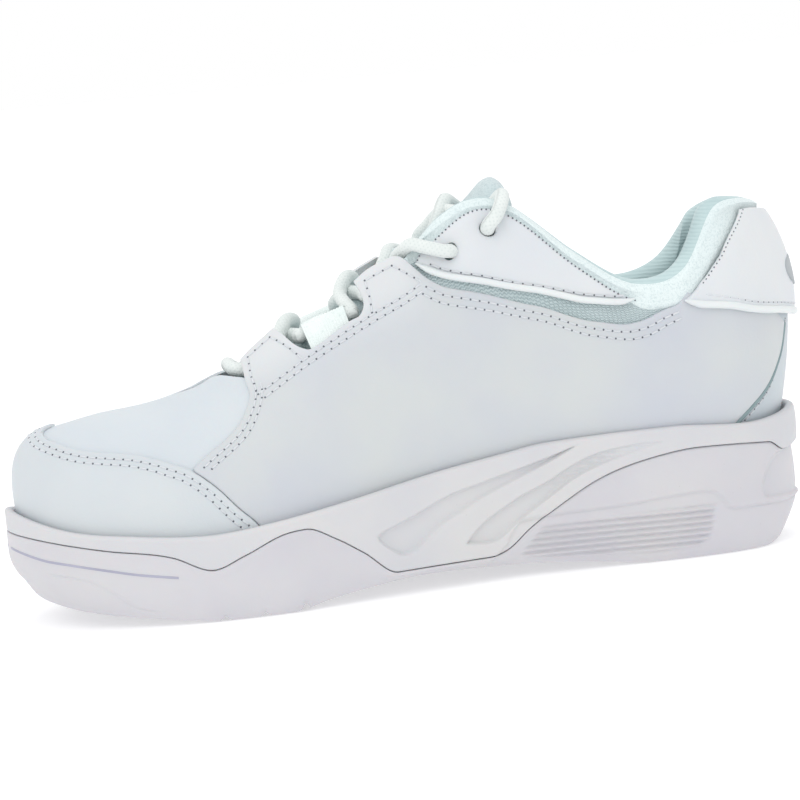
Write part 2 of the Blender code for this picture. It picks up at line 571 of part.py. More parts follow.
def tongue_layer(name, top, thickness, inset, look):
    """Curved slab of the tongue between two depths below its face."""
    stations = np.concatenate([np.linspace(TONGUE[0][0] + inset, 160, 11), [165, TONGUE[-1][0] - inset]])
    across = np.linspace(-1, 1, 9)
    outer, inner = [], []
    for s in stations:
        centre_y, _, half, _ = ease(TONGUE, s)[0]
        y = centre_y + across * (half - inset)
        z = tongue_surface(np.full(len(y), s), y)
        outer += [(s, a, b - top * TONGUE_SLOPE) for a, b in zip(y, z)]
        inner += [(s, a, b - (top + thickness) * TONGUE_SLOPE) for a, b in zip(y, z)]
    rows, cols = len(stations), len(across)
    count = rows * cols
    faces = []
    for i in range(rows - 1):
        for j in range(cols - 1):
            a = i * cols + j
            quad = (a, a + 1, a + cols + 1, a + cols)
            faces += [quad, tuple(k + count for k in quad[::-1])]
    rim = ([j for j in range(cols)] + [i * cols + cols - 1 for i in range(1, rows)]
           + [(rows - 1) * cols + j for j in range(cols - 2, -1, -1)]
           + [i * cols for i in range(rows - 2, 0, -1)])
    for a, b in zip(rim, rim[1:] + rim[:1]):
        faces.append((b, a, a + count, b + count))
    hinge = (TONGUE_HINGE[0] - CENTRE[0], TONGUE[0][1] - CENTRE[1], TONGUE_HINGE[1])
    return finish(name, outer + inner, faces, look, origin=hinge)


def make_tongue():
    tongue_layer("tongue_face", 0.0, SHEET, 0.0, MESH)
    tongue_layer("tongue_padding", LAYER, TONGUE_FOAM, 1.5, FOAM_LOOK)
    tongue_layer("tongue_lining", LAYER + TONGUE_FOAM + LAYER_GAP, SHEET, 0.0, MESH)


# ---------------------------------------------------------------- lace loops, lace and aglets
def skin_point(side, t, v, depth):
    one = np.ones(1)
    return (last_point(side, t * one, v * one) - depth * last_normal(side, t * one, v * one))[0]


def loop_frame(side, t):
    """Bore centre, upward direction along the loop's tail and inward direction of a lace loop at t."""
    up = skin_point(side, t, LOOP_V, 0) - skin_point(side, t, LOOP_TAIL_V, 0)
    up /= np.linalg.norm(up)
    inward = -last_normal(side, np.array([t]), np.array([LOOP_V]))[0]
    inward -= up * (up @ inward)
    return skin_point(side, t, LOOP_V, LOOP_DEPTH), up, inward / np.linalg.norm(inward)


def make_lace_loop(side, label):
    """Folded webbing: a ring round the lace and a flat tail sewn under the quarter."""
    bore = LACE_RADIUS + 0.5
    skin = bore + LOOP_WEB
    tail_face = -skin + 2 * LOOP_WEB
    last = 180 + math.degrees(math.asin(-tail_face / skin))
    turns = [math.radians(-90 + (last + 90) * i / 10) for i in range(11)]
    outline = [(skin * math.cos(a), skin * math.sin(a)) for a in turns]
    outline += [(-LOOP_TAIL, tail_face), (-LOOP_TAIL, -skin)]
    hole = [(bore * math.cos(a), bore * math.sin(a)) for a in (math.pi * i / 5 for i in range(10))]
    flat, triangles = fill([np.array(outline), np.array(hole)])
    start, end = LACE_LOOPS[label]
    points, faces = [], []
    count = len(flat)
    for t in (start, (start + end) / 2, end):
        centre, up, inward = loop_frame(side, t)
        points += [centre + a * up + b * inward for a, b in flat]
    edges = {edge for a, b, c in triangles for edge in ((a, b), (b, c), (c, a))}
    for a, b in edges:
        if (b, a) not in edges:
            faces += [(a, b, b + count, a + count), (a + count, b + count, b + 2 * count, a + 2 * count)]
    faces += [tuple(tri)[::-1] for tri in triangles]
    faces += [tuple(k + 2 * count for k in tri) for tri in triangles]
    finish("lace_loop_%s_%s" % (label, SIDE_NAMES[side]), points, faces, WEBBING)


def through_loop(side, label, rearward, beyond=2.2):
    """Points of the lace on a loop's bore axis, from just before one mouth to just past the other."""
    start, end = (loop_frame(side, t)[0] for t in LACE_LOOPS[label])
    along = (end - start) / np.linalg.norm(end - start) * beyond
    points = [start - along, start, end, end + along]
    return points if rearward else points[::-1]


def over_tongue(s, offset, lift=0.0):
    """Point of a strand lying on the tongue, offset to one side of its middle."""
    y = ease(TONGUE, s)[0, 0] + offset
    return np.array([s, y, tongue_surface(np.array([s]), y)[0] + (LACE_RADIUS + 0.7) * TONGUE_SLOPE + lift])


CROSSING = 2 * LACE_RADIUS + 1.1     # lift of the strand that passes over another one


def lace_half(side):
    """Route from the middle of the lowest strand, first through the low loop of this side, to the free end."""
    other = -side
    upper_first = CROSSING if side == MEDIAL else 0.0
    upper_second = CROSSING if side == LATERAL else 0.0
    (t4, v4), (t5, v5) = EYELETS
    route = [over_tongue(74.0, side * 5.0, 1.0)]
    route += through_loop(side, "low", True)
    route += [over_tongue(91.3, side * 6.5, 0.8 * upper_first), over_tongue(95.2, 0.0, upper_first),
              over_tongue(99.2, other * 6.5, 0.8 * upper_first)]
    route += through_loop(other, "mid", True)
    route += [over_tongue(113.2, other * 5.5, 0.7 * upper_second), over_tongue(116.3, 0.0, upper_second),
              over_tongue(120.0, side * 6.5, 0.8 * upper_second)]
    route += through_loop(side, "high", True, 2.0)
    route += [skin_point(side, 0.611, 0.925, 4.9), skin_point(side, 0.6225, 0.92, 0.2),
              skin_point(side, 0.634, 0.905, -3.4), skin_point(side, t4 - 0.006, v4, -3.2),
              skin_point(side, t4, v4, -0.6), skin_point(side, t4 + 0.001, v4, 3.2),
              skin_point(side, t4 + 0.003, v4 + 0.02, 7.2)]
    lift = CROSSING + 1.2 if side == MEDIAL else 0.0
    route += [over_tongue(149.5, side * 11.0, 1.4), over_tongue(151.5, side * 6.0, 0.7 * lift + 1.0),
              over_tongue(155.0, 0.0, lift + 0.6), over_tongue(158.5, other * 6.5, 0.7 * lift + 1.8)]
    route += [skin_point(other, t5, 1.0, 2.2) + np.array([0, 0, 5.6]), skin_point(other, t5, 0.975, -3.4),
              skin_point(other, t5, v5 + 0.01, -2.4), skin_point(other, t5, v5, 0.6),
              skin_point(other, t5, v5, 4.4), skin_point(other, t5 - 0.001, v5 - 0.05, 8.0),
              skin_point(other, t5 - 0.006, v5 - 0.22, 8.0), skin_point(other, t5 - 0.010, v5 - 0.36, 8.2)]
    return route


def smooth_route(points, step):
    """Points of a Catmull-Rom curve through the route, about step apart."""
    points = np.array(points)
    padded = np.concatenate([[2 * points[0] - points[1]], points, [2 * points[-1] - points[-2]]])
    curve = []
    for a, b, c, d in zip(padded, padded[1:], padded[2:], padded[3:]):
        count = max(1, round(np.linalg.norm(c - b) / step))
        for u in (i / count for i in range(count)):
            curve.append(0.5 * (2 * b + (c - a) * u + (2 * a - 5 * b + 4 * c - d) * u ** 2
                                + (3 * b - a - 3 * c + d) * u ** 3))
    return np.array(curve + [points[-1]])


def lace_route():
    return lace_half(MEDIAL)[::-1] + [over_tongue(73.0, 0.0, 1.0)] + lace_half(LATERAL)


def make_lace():
    points = (smooth_route(lace_route(), LACE_STEP) - (*CENTRE, 0)) * MM
    curve = bpy.data.curves.new("lace", "CURVE")
    curve.dimensions = "3D"
    curve.bevel_depth = LACE_RADIUS * MM
    curve.bevel_resolution = 2
    curve.use_fill_caps = True
    spline = curve.splines.new("POLY")
    spline.points.add(len(points) - 1)
    for target, point in zip(spline.points, points):
        target.co = (*point, 1)
    obj = bpy.data.objects.new("lace", curve)
    bpy.context.collection.objects.link(obj)
    curve.materials.append(material("lace", **WEBBING))


def make_aglet(side):
    """Hard tip of a lace end, in line with it."""
    route = lace_half(-side)
    along = (route[-1] - route[-2]) / np.linalg.norm(route[-1] - route[-2])
    across = np.cross(along, (0, 0, 1))
    across /= np.linalg.norm(across)
    third = np.cross(along, across)
    points, faces = [], []
    corners = 8
    for reach in (GAP, GAP + AGLET_LENGTH):
        for i in range(corners):
            a = 2 * math.pi * i / corners
            spoke = across * math.cos(a) + third * math.sin(a)
            points.append(route[-1] + along * reach + AGLET_RADIUS * spoke)
    for i in range(corners):
        j = (i + 1) % corners
        faces.append((i, j, j + corners, i + corners))
    faces += [tuple(range(corners)), tuple(range(corners, 2 * corners))[::-1]]
    finish("lace_aglet_" + SIDE_NAMES[side], points, faces, PLASTIC)


# ---------------------------------------------------------------- build
def clear_scene():
    for obj in list(bpy.data.objects):
        bpy.data.objects.remove(obj)


def main():
    clear_scene()
    make_outsole()
    make_midsole()
    make_boards()
    make_toe_puff()
    make_vamp()
    make_vamp_lining()
    make_mudguard()
    make_quarters()
    make_underlays()
    make_eyelet_panels()
    make_heel()
    make_collar()
    make_tongue()
    for side in (MEDIAL, LATERAL):
        for label in LACE_LOOPS:
            make_lace_loop(side, label)
        make_aglet(side)
    make_lace()


main()
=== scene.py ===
"""Studio scene of the right cheer shoe: fine sheets, stitching, moulded sole, padded collar and tongue, lace.

Lengths below are millimetres in the shoe's own frame: S runs from the toe tip to the heel back, Y to the
lateral side, Z up. place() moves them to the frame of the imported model, in metres.
"""
import math

import bmesh
import bpy
import numpy as np
from mathutils import Matrix, Vector
from mathutils.geometry import delaunay_2d_cdt
from mathutils.kdtree import KDTree


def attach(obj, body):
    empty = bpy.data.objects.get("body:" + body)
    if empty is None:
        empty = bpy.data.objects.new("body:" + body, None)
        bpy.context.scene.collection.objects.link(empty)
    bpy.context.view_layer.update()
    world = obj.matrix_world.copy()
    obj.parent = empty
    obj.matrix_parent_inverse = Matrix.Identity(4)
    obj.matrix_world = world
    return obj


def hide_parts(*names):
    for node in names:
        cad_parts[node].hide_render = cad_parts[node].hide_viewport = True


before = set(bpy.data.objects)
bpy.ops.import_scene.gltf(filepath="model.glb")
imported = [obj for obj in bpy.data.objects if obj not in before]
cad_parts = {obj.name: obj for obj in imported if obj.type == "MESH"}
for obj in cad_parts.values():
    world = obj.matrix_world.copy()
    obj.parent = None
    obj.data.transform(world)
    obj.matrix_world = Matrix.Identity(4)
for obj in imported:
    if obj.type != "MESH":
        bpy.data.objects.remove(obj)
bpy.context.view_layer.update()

# ---------------------------------------------------------------- the shoe's own dimensions
LENGTH = 262.0
CENTRE = (131.9, 1.4)                # (s, y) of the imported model's origin
MM = 0.001
MEDIAL, LATERAL = -1, 1
SIDE_NAMES = {MEDIAL: "medial", LATERAL: "lateral"}
SHEET = 1.1
LAYER_GAP = 0.6
LAYER = SHEET + LAYER_GAP
UPPER_INSET = 5.0                    # the upper's foot, inside the sole's outline
LAST_INSET = 14.0                    # the sockliner, inside the sole's outline
STROBEL, SOCKLINER, GAP = 1.6, 4.5, 0.3
FOAM = 5.2
LACE_RADIUS = 2.1                    # the loops' and crossings' room for the lace
LACE_BODY = 2.35                     # the braid itself, pressed a little flat
EYELET_RADIUS = 2.5
LOOP_WEB = 0.55                      # webbing thickness of a lace loop

# Half outlines of the sole, (s, y).
SOLE_MEDIAL = [(0, -5), (5, -21), (17, -34), (36, -42), (58, -46), (82, -46.5), (108, -42), (134, -36),
               (160, -32.5), (188, -32.5), (214, -34), (236, -32), (251, -24), (259, -12.5), (LENGTH, 0)]
SOLE_LATERAL = [(0, -5), (4, 9), (12, 22), (26, 33), (46, 42), (72, 48), (98, 49.5), (128, 46.5),
                (160, 41), (190, 38), (214, 37.5), (236, 34), (251, 25), (259, 13), (LENGTH, 0)]

# Heights over the length, (s, z): underside, join of the two foams, top edge, foot bed.
TREAD = [(4, 11.2), (8, 8.8), (14, 6.9), (24, 4.9), (33, 3.5), (50, 1.3), (62, 0), (84, 0), (96, 2.3),
         (112, 4.4), (130, 5.4), (150, 4.7), (175, 3.2), (190, 1.5), (203, 0), (243, 0), (250, 1.6),
         (256, 4.2), (LENGTH, 6.5)]
SEAM = [(0, 30), (7, 28.9), (28, 25), (48, 21.3), (60, 16.3), (70, 19.8), (84, 25.2), (90, 25.7),
        (99, 21.6), (108, 15.7), (119, 7.8), (150, 8.0), (156, 9.5), (164, 15.5), (175, 22.3), (185, 27.8),
        (208, 34.5), (220, 35.7), (246, 34), (252, 30.5), (LENGTH, 30)]
TOP_EDGE = [(0, 37.5), (8, 34.2), (16, 31.7), (36, 28.8), (60, 27), (79, 28.7), (100, 31.6), (136, 37.5),
            (157, 40.3), (171, 42.2), (212, 43.2), (240, 41.4), (LENGTH, 43.5)]
BED = [(0, 27), (30, 20.5), (60, 18), (90, 18.5), (130, 25), (175, 31), (215, 33), (LENGTH, 33.5)]
TREAD_INSET = [(0, 7), (20, 4.5), (60, 2.2), (200, 2.2), (240, 2.5), (LENGTH, 5.5)]

# Ribs of the lasted surface: (t, foot s, top s, top y, top z, foot bulge, foot rise, top reach, top drop).
LAST_MEDIAL = [
    (0.00, 0, 22, -5.0, 63.2, 4.5, 26, 18, 0), (0.08, 5, 27, -5.0, 63.8, 4.0, 26, 18, 0),
    (0.16, 18, 36, -4.9, 64.6, 3.0, 25, 20, 0), (0.24, 38, 47, -4.7, 65.6, 2.5, 25, 22, 0),
    (0.32, 58, 57, -4.5, 67.6, 2.0, 26, 22, 0), (0.38, 74, 66, -6.5, 70.6, 2.0, 26, 21, 1),
    (0.44, 90, 80, -11, 80.0, 2.0, 27, 17, 5), (0.50, 106, 97, -14, 90.3, 2.5, 29, 15, 11),
    (0.56, 124, 116, -16, 99.6, 3.0, 31, 12, 16), (0.62, 142, 136, -19, 108.0, 4.0, 32, 10, 19),
    (0.68, 160, 155, -21, 118.0, 5.0, 33, 8, 21), (0.73, 175, 168, -23, 115.5, 5.5, 31, 7, 21),
    (0.79, 192, 187, -27, 98.0, 5.5, 25, 6, 19), (0.85, 210, 207, -29, 86.0, 5.5, 20, 5, 17),
    (0.90, 226, 223, -29, 90.5, 5.5, 22, 5, 18), (0.94, 240, 235, -25, 108.5, 6.5, 28, 6, 25),
    (0.97, 254, 245.5, -17.5, 110.5, 6.5, 30, 9, 26), (1.00, LENGTH, 256, 0, 108.5, 6.5, 28, 13, 26)]
LAST_LATERAL = [
    (0.00, 0, 22, -5.0, 63.2, 4.5, 26, 18, 0), (0.08, 5, 27, -5.0, 63.8, 4.0, 26, 18, 0),
    (0.16, 18, 36, -4.9, 64.6, 3.0, 25, 21, 0), (0.24, 38, 47, -4.7, 65.6, 2.5, 25, 24, 0),
    (0.32, 58, 57, -4.5, 67.6, 2.0, 26, 27, 0), (0.38, 74, 66, -2.0, 70.6, 2.0, 26, 27, 1),
    (0.44, 90, 80, 4.5, 79.0, 2.0, 27, 23, 5), (0.50, 106, 97, 9, 88.5, 2.0, 29, 20, 10),
    (0.56, 124, 116, 13, 97.5, 2.5, 31, 17, 15), (0.62, 142, 136, 17, 106.5, 3.0, 32, 13, 19),
    (0.68, 160, 155, 20, 116.0, 4.0, 33, 11, 21), (0.73, 175, 168, 23, 113.5, 4.5, 31, 9, 21),
    (0.79, 192, 187, 27, 96.5, 5.0, 25, 7, 19), (0.85, 210, 207, 30, 85.5, 5.0, 20, 6, 17),
    (0.90, 226, 225, 30, 88.5, 5.5, 22, 6, 18), (0.94, 240, 239, 25, 103.5, 6.0, 28, 6, 25),
    (0.97, 254, 248, 16, 108.5, 6.5, 30, 9, 26), (1.00, LENGTH, 256, 0, 108.5, 6.5, 28, 13, 26)]
THROAT = 0.36                        # t of the tongue's opening
LATERAL_DROP = 0.075                 # the outer side's front edge sits lower than the arch side's, in v
EYELETS = [(0.650, 0.875), (0.693, 0.90)]

# The tongue's upper face: (s, middle y, middle z, half width, arch).
TONGUE = [(62, -4.5, 58.5, 11, 0.040), (72, -4.0, 62.5, 13, 0.045), (84, -3.2, 71.0, 15, 0.045),
          (97, -2.5, 80.2, 16, 0.048), (116, -1.8, 90.8, 16, 0.053), (136, -1.0, 103.2, 14.5, 0.056),
          (148, -0.7, 112.2, 13.5, 0.05), (156, -0.3, 118.4, 13.0, 0.045), (160.5, 0.0, 122.4, 13.0, 0.04),
          (163.5, 0.0, 125.2, 13.0, 0.035), (166.5, 0.0, 126.6, 12.5, 0.035), (169, 0.0, 126.2, 12, 0.035),
          (172.5, 0.0, 123.0, 11, 0.035)]
TONGUE_SLOPE = 1.13                  # vertical depth for a depth of one square to the rising tongue
TONGUE_END = 172.0
TONGUE_THICK = 8.4

# Lace loops: t where each one starts and ends, v of the bore and of the sewn tail, and the bore's depth.
LACE_LOOPS = {"low": (0.440, 0.466), "mid": (0.499, 0.543), "high": (0.572, 0.594)}
LOOP_V, LOOP_DEPTH, LOOP_TAIL_V = 0.90, 4.6, 0.74
LOOP_TAIL = 11.0

# Pattern lines, (t, v): smooth runs that meet at corners.
MUDGUARD_EDGE = [(0, 0.93), (0.012, 0.885), (0.032, 0.80), (0.074, 0.68), (0.124, 0.60), (0.166, 0.56),
                 (0.229, 0.532), (0.267, 0.49),
                 (0.29, 0.45), (0.314, 0.405), (0.343, 0.31), (0.366, 0.21), (0.388, 0.125), (0.405, 0.0)]
QUARTER_FRONT = [(0.318, 0.41), (0.341, 0.465), (0.367, 0.517), (0.391, 0.573), (0.41, 0.647),
                 (0.419, 0.71), (0.421, 0.785), (0.43, 0.935)]
LOWER_TAB_TOP = [(0.43, 0.935), (0.476, 0.985)]
NOTCH = [(0.476, 0.985), (0.481, 0.89), (0.485, 0.833), (0.492, 0.785), (0.503, 0.765), (0.54, 0.80),
         (0.555, 0.807), (0.562, 0.863), (0.5605, 0.965)]
UPPER_TAB_TOP = [(0.5605, 0.965), (0.578, 0.992), (0.601, 0.995)]
COLLAR_LINE = [(0.601, 0.995), (0.608, 0.965), (0.6155, 0.893), (0.625, 0.82), (0.642, 0.738), (0.676, 0.647),
               (0.715, 0.603), (0.754, 0.62), (0.79, 0.685), (0.819, 0.753), (0.839, 0.818), (0.864, 0.89),
               (0.882, 0.90)]
HEEL_TAB_LOW = [(0.888, 0.90), (0.909, 0.77), (0.927, 0.628), (0.953, 0.542), (0.98, 0.52), (1, 0.515)]
HEEL_TAB_FRONT = [(0.964, 0.985), (0.958, 0.955), (0.948, 0.912), (0.938, 0.88), (0.93, 0.865),
                  (0.916, 0.885), (0.906, 0.905), (0.888, 0.90)]
QUARTER_REAR = [(0.983, 0.50), (0.976, 0.36), (0.968, 0.285), (0.957, 0.21), (0.943, 0.15), (0.925, 0.09),
                (0.903, 0.0)]
PANEL_LOW = [(0.6165, 0.915), (0.630, 0.831), (0.644, 0.773), (0.660, 0.722), (0.687, 0.671), (0.717, 0.653),
             (0.747, 0.677), (0.773, 0.742), (0.794, 0.80), (0.812, 0.856), (0.831, 0.922), (0.841, 0.962)]
PANEL_TOP = [(0.841, 0.962), (0.811, 0.968), (0.787, 0.978), (0.764, 0.977), (0.739, 0.976), (0.718, 0.99),
             (0.69, 0.997), (0.664, 0.985), (0.637, 0.965), (0.623, 0.95), (0.6165, 0.915)]


# ---------------------------------------------------------------- curves and the lasted surface
def ease(keys, x, shaped=False):
    """Smooth curve through rows of (x, value...); a shaped one never swings past its points."""
    rows = np.asarray(keys, float)
    knots, values = rows[:, 0], rows[:, 1:]
    x = np.clip(np.atleast_1d(np.asarray(x, float)), knots[0], knots[-1])
    i = np.clip(np.searchsorted(knots, x, side="right") - 1, 0, len(knots) - 2)
    step = np.diff(knots)[:, None]
    rise = np.diff(values, axis=0) / step
    slope = np.empty_like(values)
    slope[0], slope[-1] = rise[0], rise[-1]
    slope[1:-1] = (rise[:-1] * step[1:] + rise[1:] * step[:-1]) / (step[:-1] + step[1:])
    if shaped:
        same_way = rise[:-1] * rise[1:] > 0
        steepest = 2 * np.minimum(np.abs(rise[:-1]), np.abs(rise[1:]))
        slope[1:-1] = np.where(same_way, np.sign(slope[1:-1]) * np.minimum(np.abs(slope[1:-1]), steepest), 0)
    h = step[i]
    u = ((x - knots[i]) / h[:, 0])[:, None]
    return ((1 + 2 * u) * (1 - u) ** 2 * values[i] + u * (1 - u) ** 2 * h * slope[i]
            + u * u * (3 - 2 * u) * values[i + 1] - u * u * (1 - u) * h * slope[i + 1])


def level(keys, x):
    return ease(keys, x, shaped=True)[:, 0]


def smooth_step(x, low, high):
    u = np.clip((x - low) / (high - low), 0, 1)
    return u * u * (3 - 2 * u)


def run_length(path):
    """Length along a path at each of its points."""
    return np.concatenate([[0], np.cumsum(np.linalg.norm(np.diff(path, axis=0), axis=1))])


def wrapped(table, other):
    """A side's table carried on past both ends by the other side's rows."""
    before = [(-row[0], *row[1:]) for row in other[2:0:-1]]
    after = [(2 - row[0], *row[1:]) for row in other[-2:-4:-1]]
    return before + list(table) + after


def turn(s):
    """Share of the half turn round the sole at which its outline passes s."""
    return np.arccos(np.clip(1 - 2 * np.asarray(s, float) / LENGTH, -1, 1)) / math.pi


BY_TURN = [[(float(turn(s)), y) for s, y in keys] for keys in (SOLE_MEDIAL, SOLE_LATERAL)]
OUTLINES = {side: np.array(wrapped(*BY_TURN[::-side])) for side in (MEDIAL, LATERAL)}
LASTS = {side: np.array(wrapped(*(LAST_MEDIAL, LAST_LATERAL)[::-side])) for side in (MEDIAL, LATERAL)}


def outline_at(side, u):
    y = ease(OUTLINES[side], u)[:, 0]
    return np.stack([LENGTH * (1 - np.cos(math.pi * np.asarray(u))) / 2, y], 1)


NUDGE = 0.004                        # step of u, t or v for taking a direction


def outward(side, u):
    along = outline_at(side, np.clip(u + NUDGE, 0, 1)) - outline_at(side, np.clip(u - NUDGE, 0, 1))
    out = np.stack([-along[:, 1] * side, along[:, 0] * side], 1)
    out /= np.linalg.norm(out, axis=1)[:, None]
    out[u < 1e-6] = (-1, 0)
    out[u > 1 - 1e-6] = (1, 0)
    return out


def inset_outline(side, u, inset):
    inset = np.broadcast_to(np.asarray(inset, float), np.shape(u))
    return outline_at(side, u) - outward(side, u) * inset[:, None]


def last_controls(side, t):
    """The four control points of the curve up the lasted surface at each t."""
    table = LASTS[side]
    foot_s, top_s, top_y, top_z, bulge, rise, reach, drop = ease(table, t).T
    u = turn(foot_s)
    out = outward(side, u)
    foot = inset_outline(side, u, UPPER_INSET)
    foot = np.column_stack([foot, level(BED, foot[:, 0])])
    top = np.column_stack([top_s, top_y, top_z])
    lean = foot[:, :2] - top[:, :2]
    lean /= np.linalg.norm(lean, axis=1)[:, None]
    ahead, behind = ease(table, t + 0.01), ease(table, np.maximum(t - 0.01, 0.0))
    ridge_slope = (ahead[:, 3] - behind[:, 3]) / (ahead[:, 1] - behind[:, 1])
    on_ridge = np.clip((THROAT + 0.04 - t) / 0.06, 0, 1)
    low = foot + np.column_stack([out * bulge[:, None], rise])
    high = top + np.column_stack([lean * reach[:, None], on_ridge * ridge_slope * lean[:, 0] * reach - drop])
    return foot, low, high, top


def last_point(side, t, v):
    foot, low, high, top = last_controls(side, t)
    if side == LATERAL:
        front = smooth_step(t, 0.60, 0.65) * smooth_step(t, 0.76, 0.70)
        v = v - LATERAL_DROP * front * smooth_step(v, 0.6, 1.0)
    v = v[:, None]
    return (1 - v) ** 3 * foot + 3 * v * (1 - v) ** 2 * low + 3 * v * v * (1 - v) * high + v ** 3 * top


def last_frame(side, t, v):
    """Outward normal, and the true vectors of one unit of t and of v, on the lasted surface."""
    t = np.maximum(t, 0.03 * np.clip((v - 0.85) / 0.1, 0, 1))
    t1, t0 = np.clip(t + NUDGE, 0, 1), np.clip(t - NUDGE, 0, 1)
    v1, v0 = np.clip(v + NUDGE, 0, 1), np.clip(v - NUDGE, 0, 1)
    along = (last_point(side, t1, v) - last_point(side, t0, v)) / (t1 - t0)[:, None]
    up = (last_point(side, t, v1) - last_point(side, t, v0)) / (v1 - v0)[:, None]
    normal = np.cross(along, up) * -side
    normal /= np.linalg.norm(normal, axis=1)[:, None]
    return normal, along, up


def skin(side, tv, depth=0.0):
    """Points at (t, v) rows, a depth under the lasted surface (negative is proud of it)."""
    tv = np.atleast_2d(np.asarray(tv, float))
    depth = np.broadcast_to(np.asarray(depth, float), (len(tv),))
    return last_point(side, *tv.T) - last_frame(side, *tv.T)[0] * depth[:, None]


def skin_point(side, t, v, depth):
    return skin(side, [(t, v)], depth)[0]


def smooth_line(points, step=None, count=6):
    """Catmull-Rom curve through (t, v) or 3-D points, ends kept, by spacing or by points per stretch."""
    points = np.array(points, float)
    padded = np.concatenate([[2 * points[0] - points[1]], points, [2 * points[-1] - points[-2]]])
    out = []
    for a, b, c, d in zip(padded, padded[1:], padded[2:], padded[3:]):
        n = count if step is None else max(1, round(float(np.linalg.norm(c - b)) / step))
        for u in (i / n for i in range(n)):
            out.append(0.5 * (2 * b + (c - a) * u + (2 * a - 5 * b + 4 * c - d) * u ** 2
                              + (3 * b - a - 3 * c + d) * u ** 3))
    return np.array(out + [points[-1]])


def soften(line, rounds=14):
    """A fine line relaxed to an even sweep; its ends stay."""
    line = np.array(line, float)
    for _ in range(rounds):
        line[1:-1] = (line[:-2] + 2 * line[1:-1] + line[2:]) / 4
    return line


def paced(side, line, pitch):
    """(t, v) points along a line, an equal true distance apart."""
    line = np.array(line, float)
    shares = np.linspace(0, 1, 9)[:-1, None]
    fine = np.concatenate([a + (b - a) * shares for a, b in zip(line, line[1:])] + [line[-1:]])
    run = run_length(skin(side, fine))
    count = max(1, round(run[-1] / pitch))
    at = np.linspace(0, run[-1], count + 1)
    return np.column_stack([np.interp(at, run, fine[:, k]) for k in (0, 1)])


def shifted(side, line, distance):
    """A (t, v) line moved sideways over the surface by a true distance (positive is to the left)."""
    line = np.asarray(line, float)
    _, along, up = last_frame(side, *line.T)
    a, b = np.linalg.norm(along, axis=1), np.linalg.norm(up, axis=1)
    step = np.gradient(line, axis=0) * np.column_stack([a, b])
    step /= np.linalg.norm(step, axis=1)[:, None] + 1e-9
    return line + np.column_stack([-step[:, 1] / a, step[:, 0] / b]) * distance


# ---------------------------------------------------------------- mesh helpers
def place(points):
    return (np.asarray(points, float) - (*CENTRE, 0.0)) * MM


def finish_mesh(name, points, faces, look, body="shoe", node=None, replaces=None, slot=None, uvs=None,
                sharp=40):
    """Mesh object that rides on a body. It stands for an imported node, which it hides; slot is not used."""
    if node:
        replaces, slot = replaces or [node], node
    mesh = bpy.data.meshes.new(name)
    mesh.from_pydata([tuple(p) for p in place(points)], [], [tuple(f) for f in faces])
    if uvs is not None:
        layer = mesh.uv_layers.new(name="surface")
        index = np.empty(len(mesh.loops), np.int32)
        mesh.loops.foreach_get("vertex_index", index)
        layer.data.foreach_set("uv", np.asarray(uvs, np.float32)[index].ravel() * MM)
    bm = bmesh.new()
    bm.from_mesh(mesh)
    bmesh.ops.recalc_face_normals(bm, faces=bm.faces)
    bm.to_mesh(mesh)
    bm.free()
    mesh.shade_smooth()
    mesh.set_sharp_from_angle(angle=math.radians(sharp))
    mesh.materials.append(look)
    obj = bpy.data.objects.new(name, mesh)
    bpy.context.scene.collection.objects.link(obj)
    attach(obj, body)
    if replaces:
        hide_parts(*replaces)
    return obj


def segments(loop):
    """The (start, end) pairs of a closed loop."""
    return list(zip(loop, np.roll(loop, -1, axis=0)))


def inside(loop, points):
    hit = np.zeros(len(points), bool)
    x, y = points[:, 0], points[:, 1]
    for (x0, y0), (x1, y1) in segments(loop):
        if y0 == y1:
            continue
        crosses = (y0 > y) != (y1 > y)
        hit ^= crosses & (x < (x1 - x0) * (y - y0) / (y1 - y0) + x0)
    return hit


def distance_to(lines, points):
    """Shortest distance from each point to any of the segments (start, end rows)."""
    best = np.full(len(points), np.inf)
    for a, b in lines:
        along = b - a
        share = np.clip(((points - a) @ along) / max(along @ along, 1e-12), 0, 1)
        best = np.minimum(best, np.linalg.norm(points - a - share[:, None] * along, axis=1))
    return best


SPREAD = np.array([560.0, 85.0])     # rough true lengths of one unit of t and of v
SAME_POINT = 0.06                    # the two sides' points are one below this distance


def on_seam(a, b):
    """True for an outline segment along the toe, heel or ridge line, where both sides are one piece."""
    same = abs(a[0] - b[0]) < 1e-9 and (a[0] < 1e-9 or a[0] > 1 - 1e-9)
    ridge = a[1] > 1 - 1e-9 and b[1] > 1 - 1e-9 and max(a[0], b[0]) <= THROAT + 1e-6
    return same or ridge


def dense(loop, longest):
    """A closed loop with no segment longer than a rough length."""
    points = []
    for a, b in segments(loop):
        count = max(1, math.ceil(np.linalg.norm((b - a) * SPREAD) / longest))
        points += [a + (b - a) * i / count for i in range(count)]
    return np.array(points)


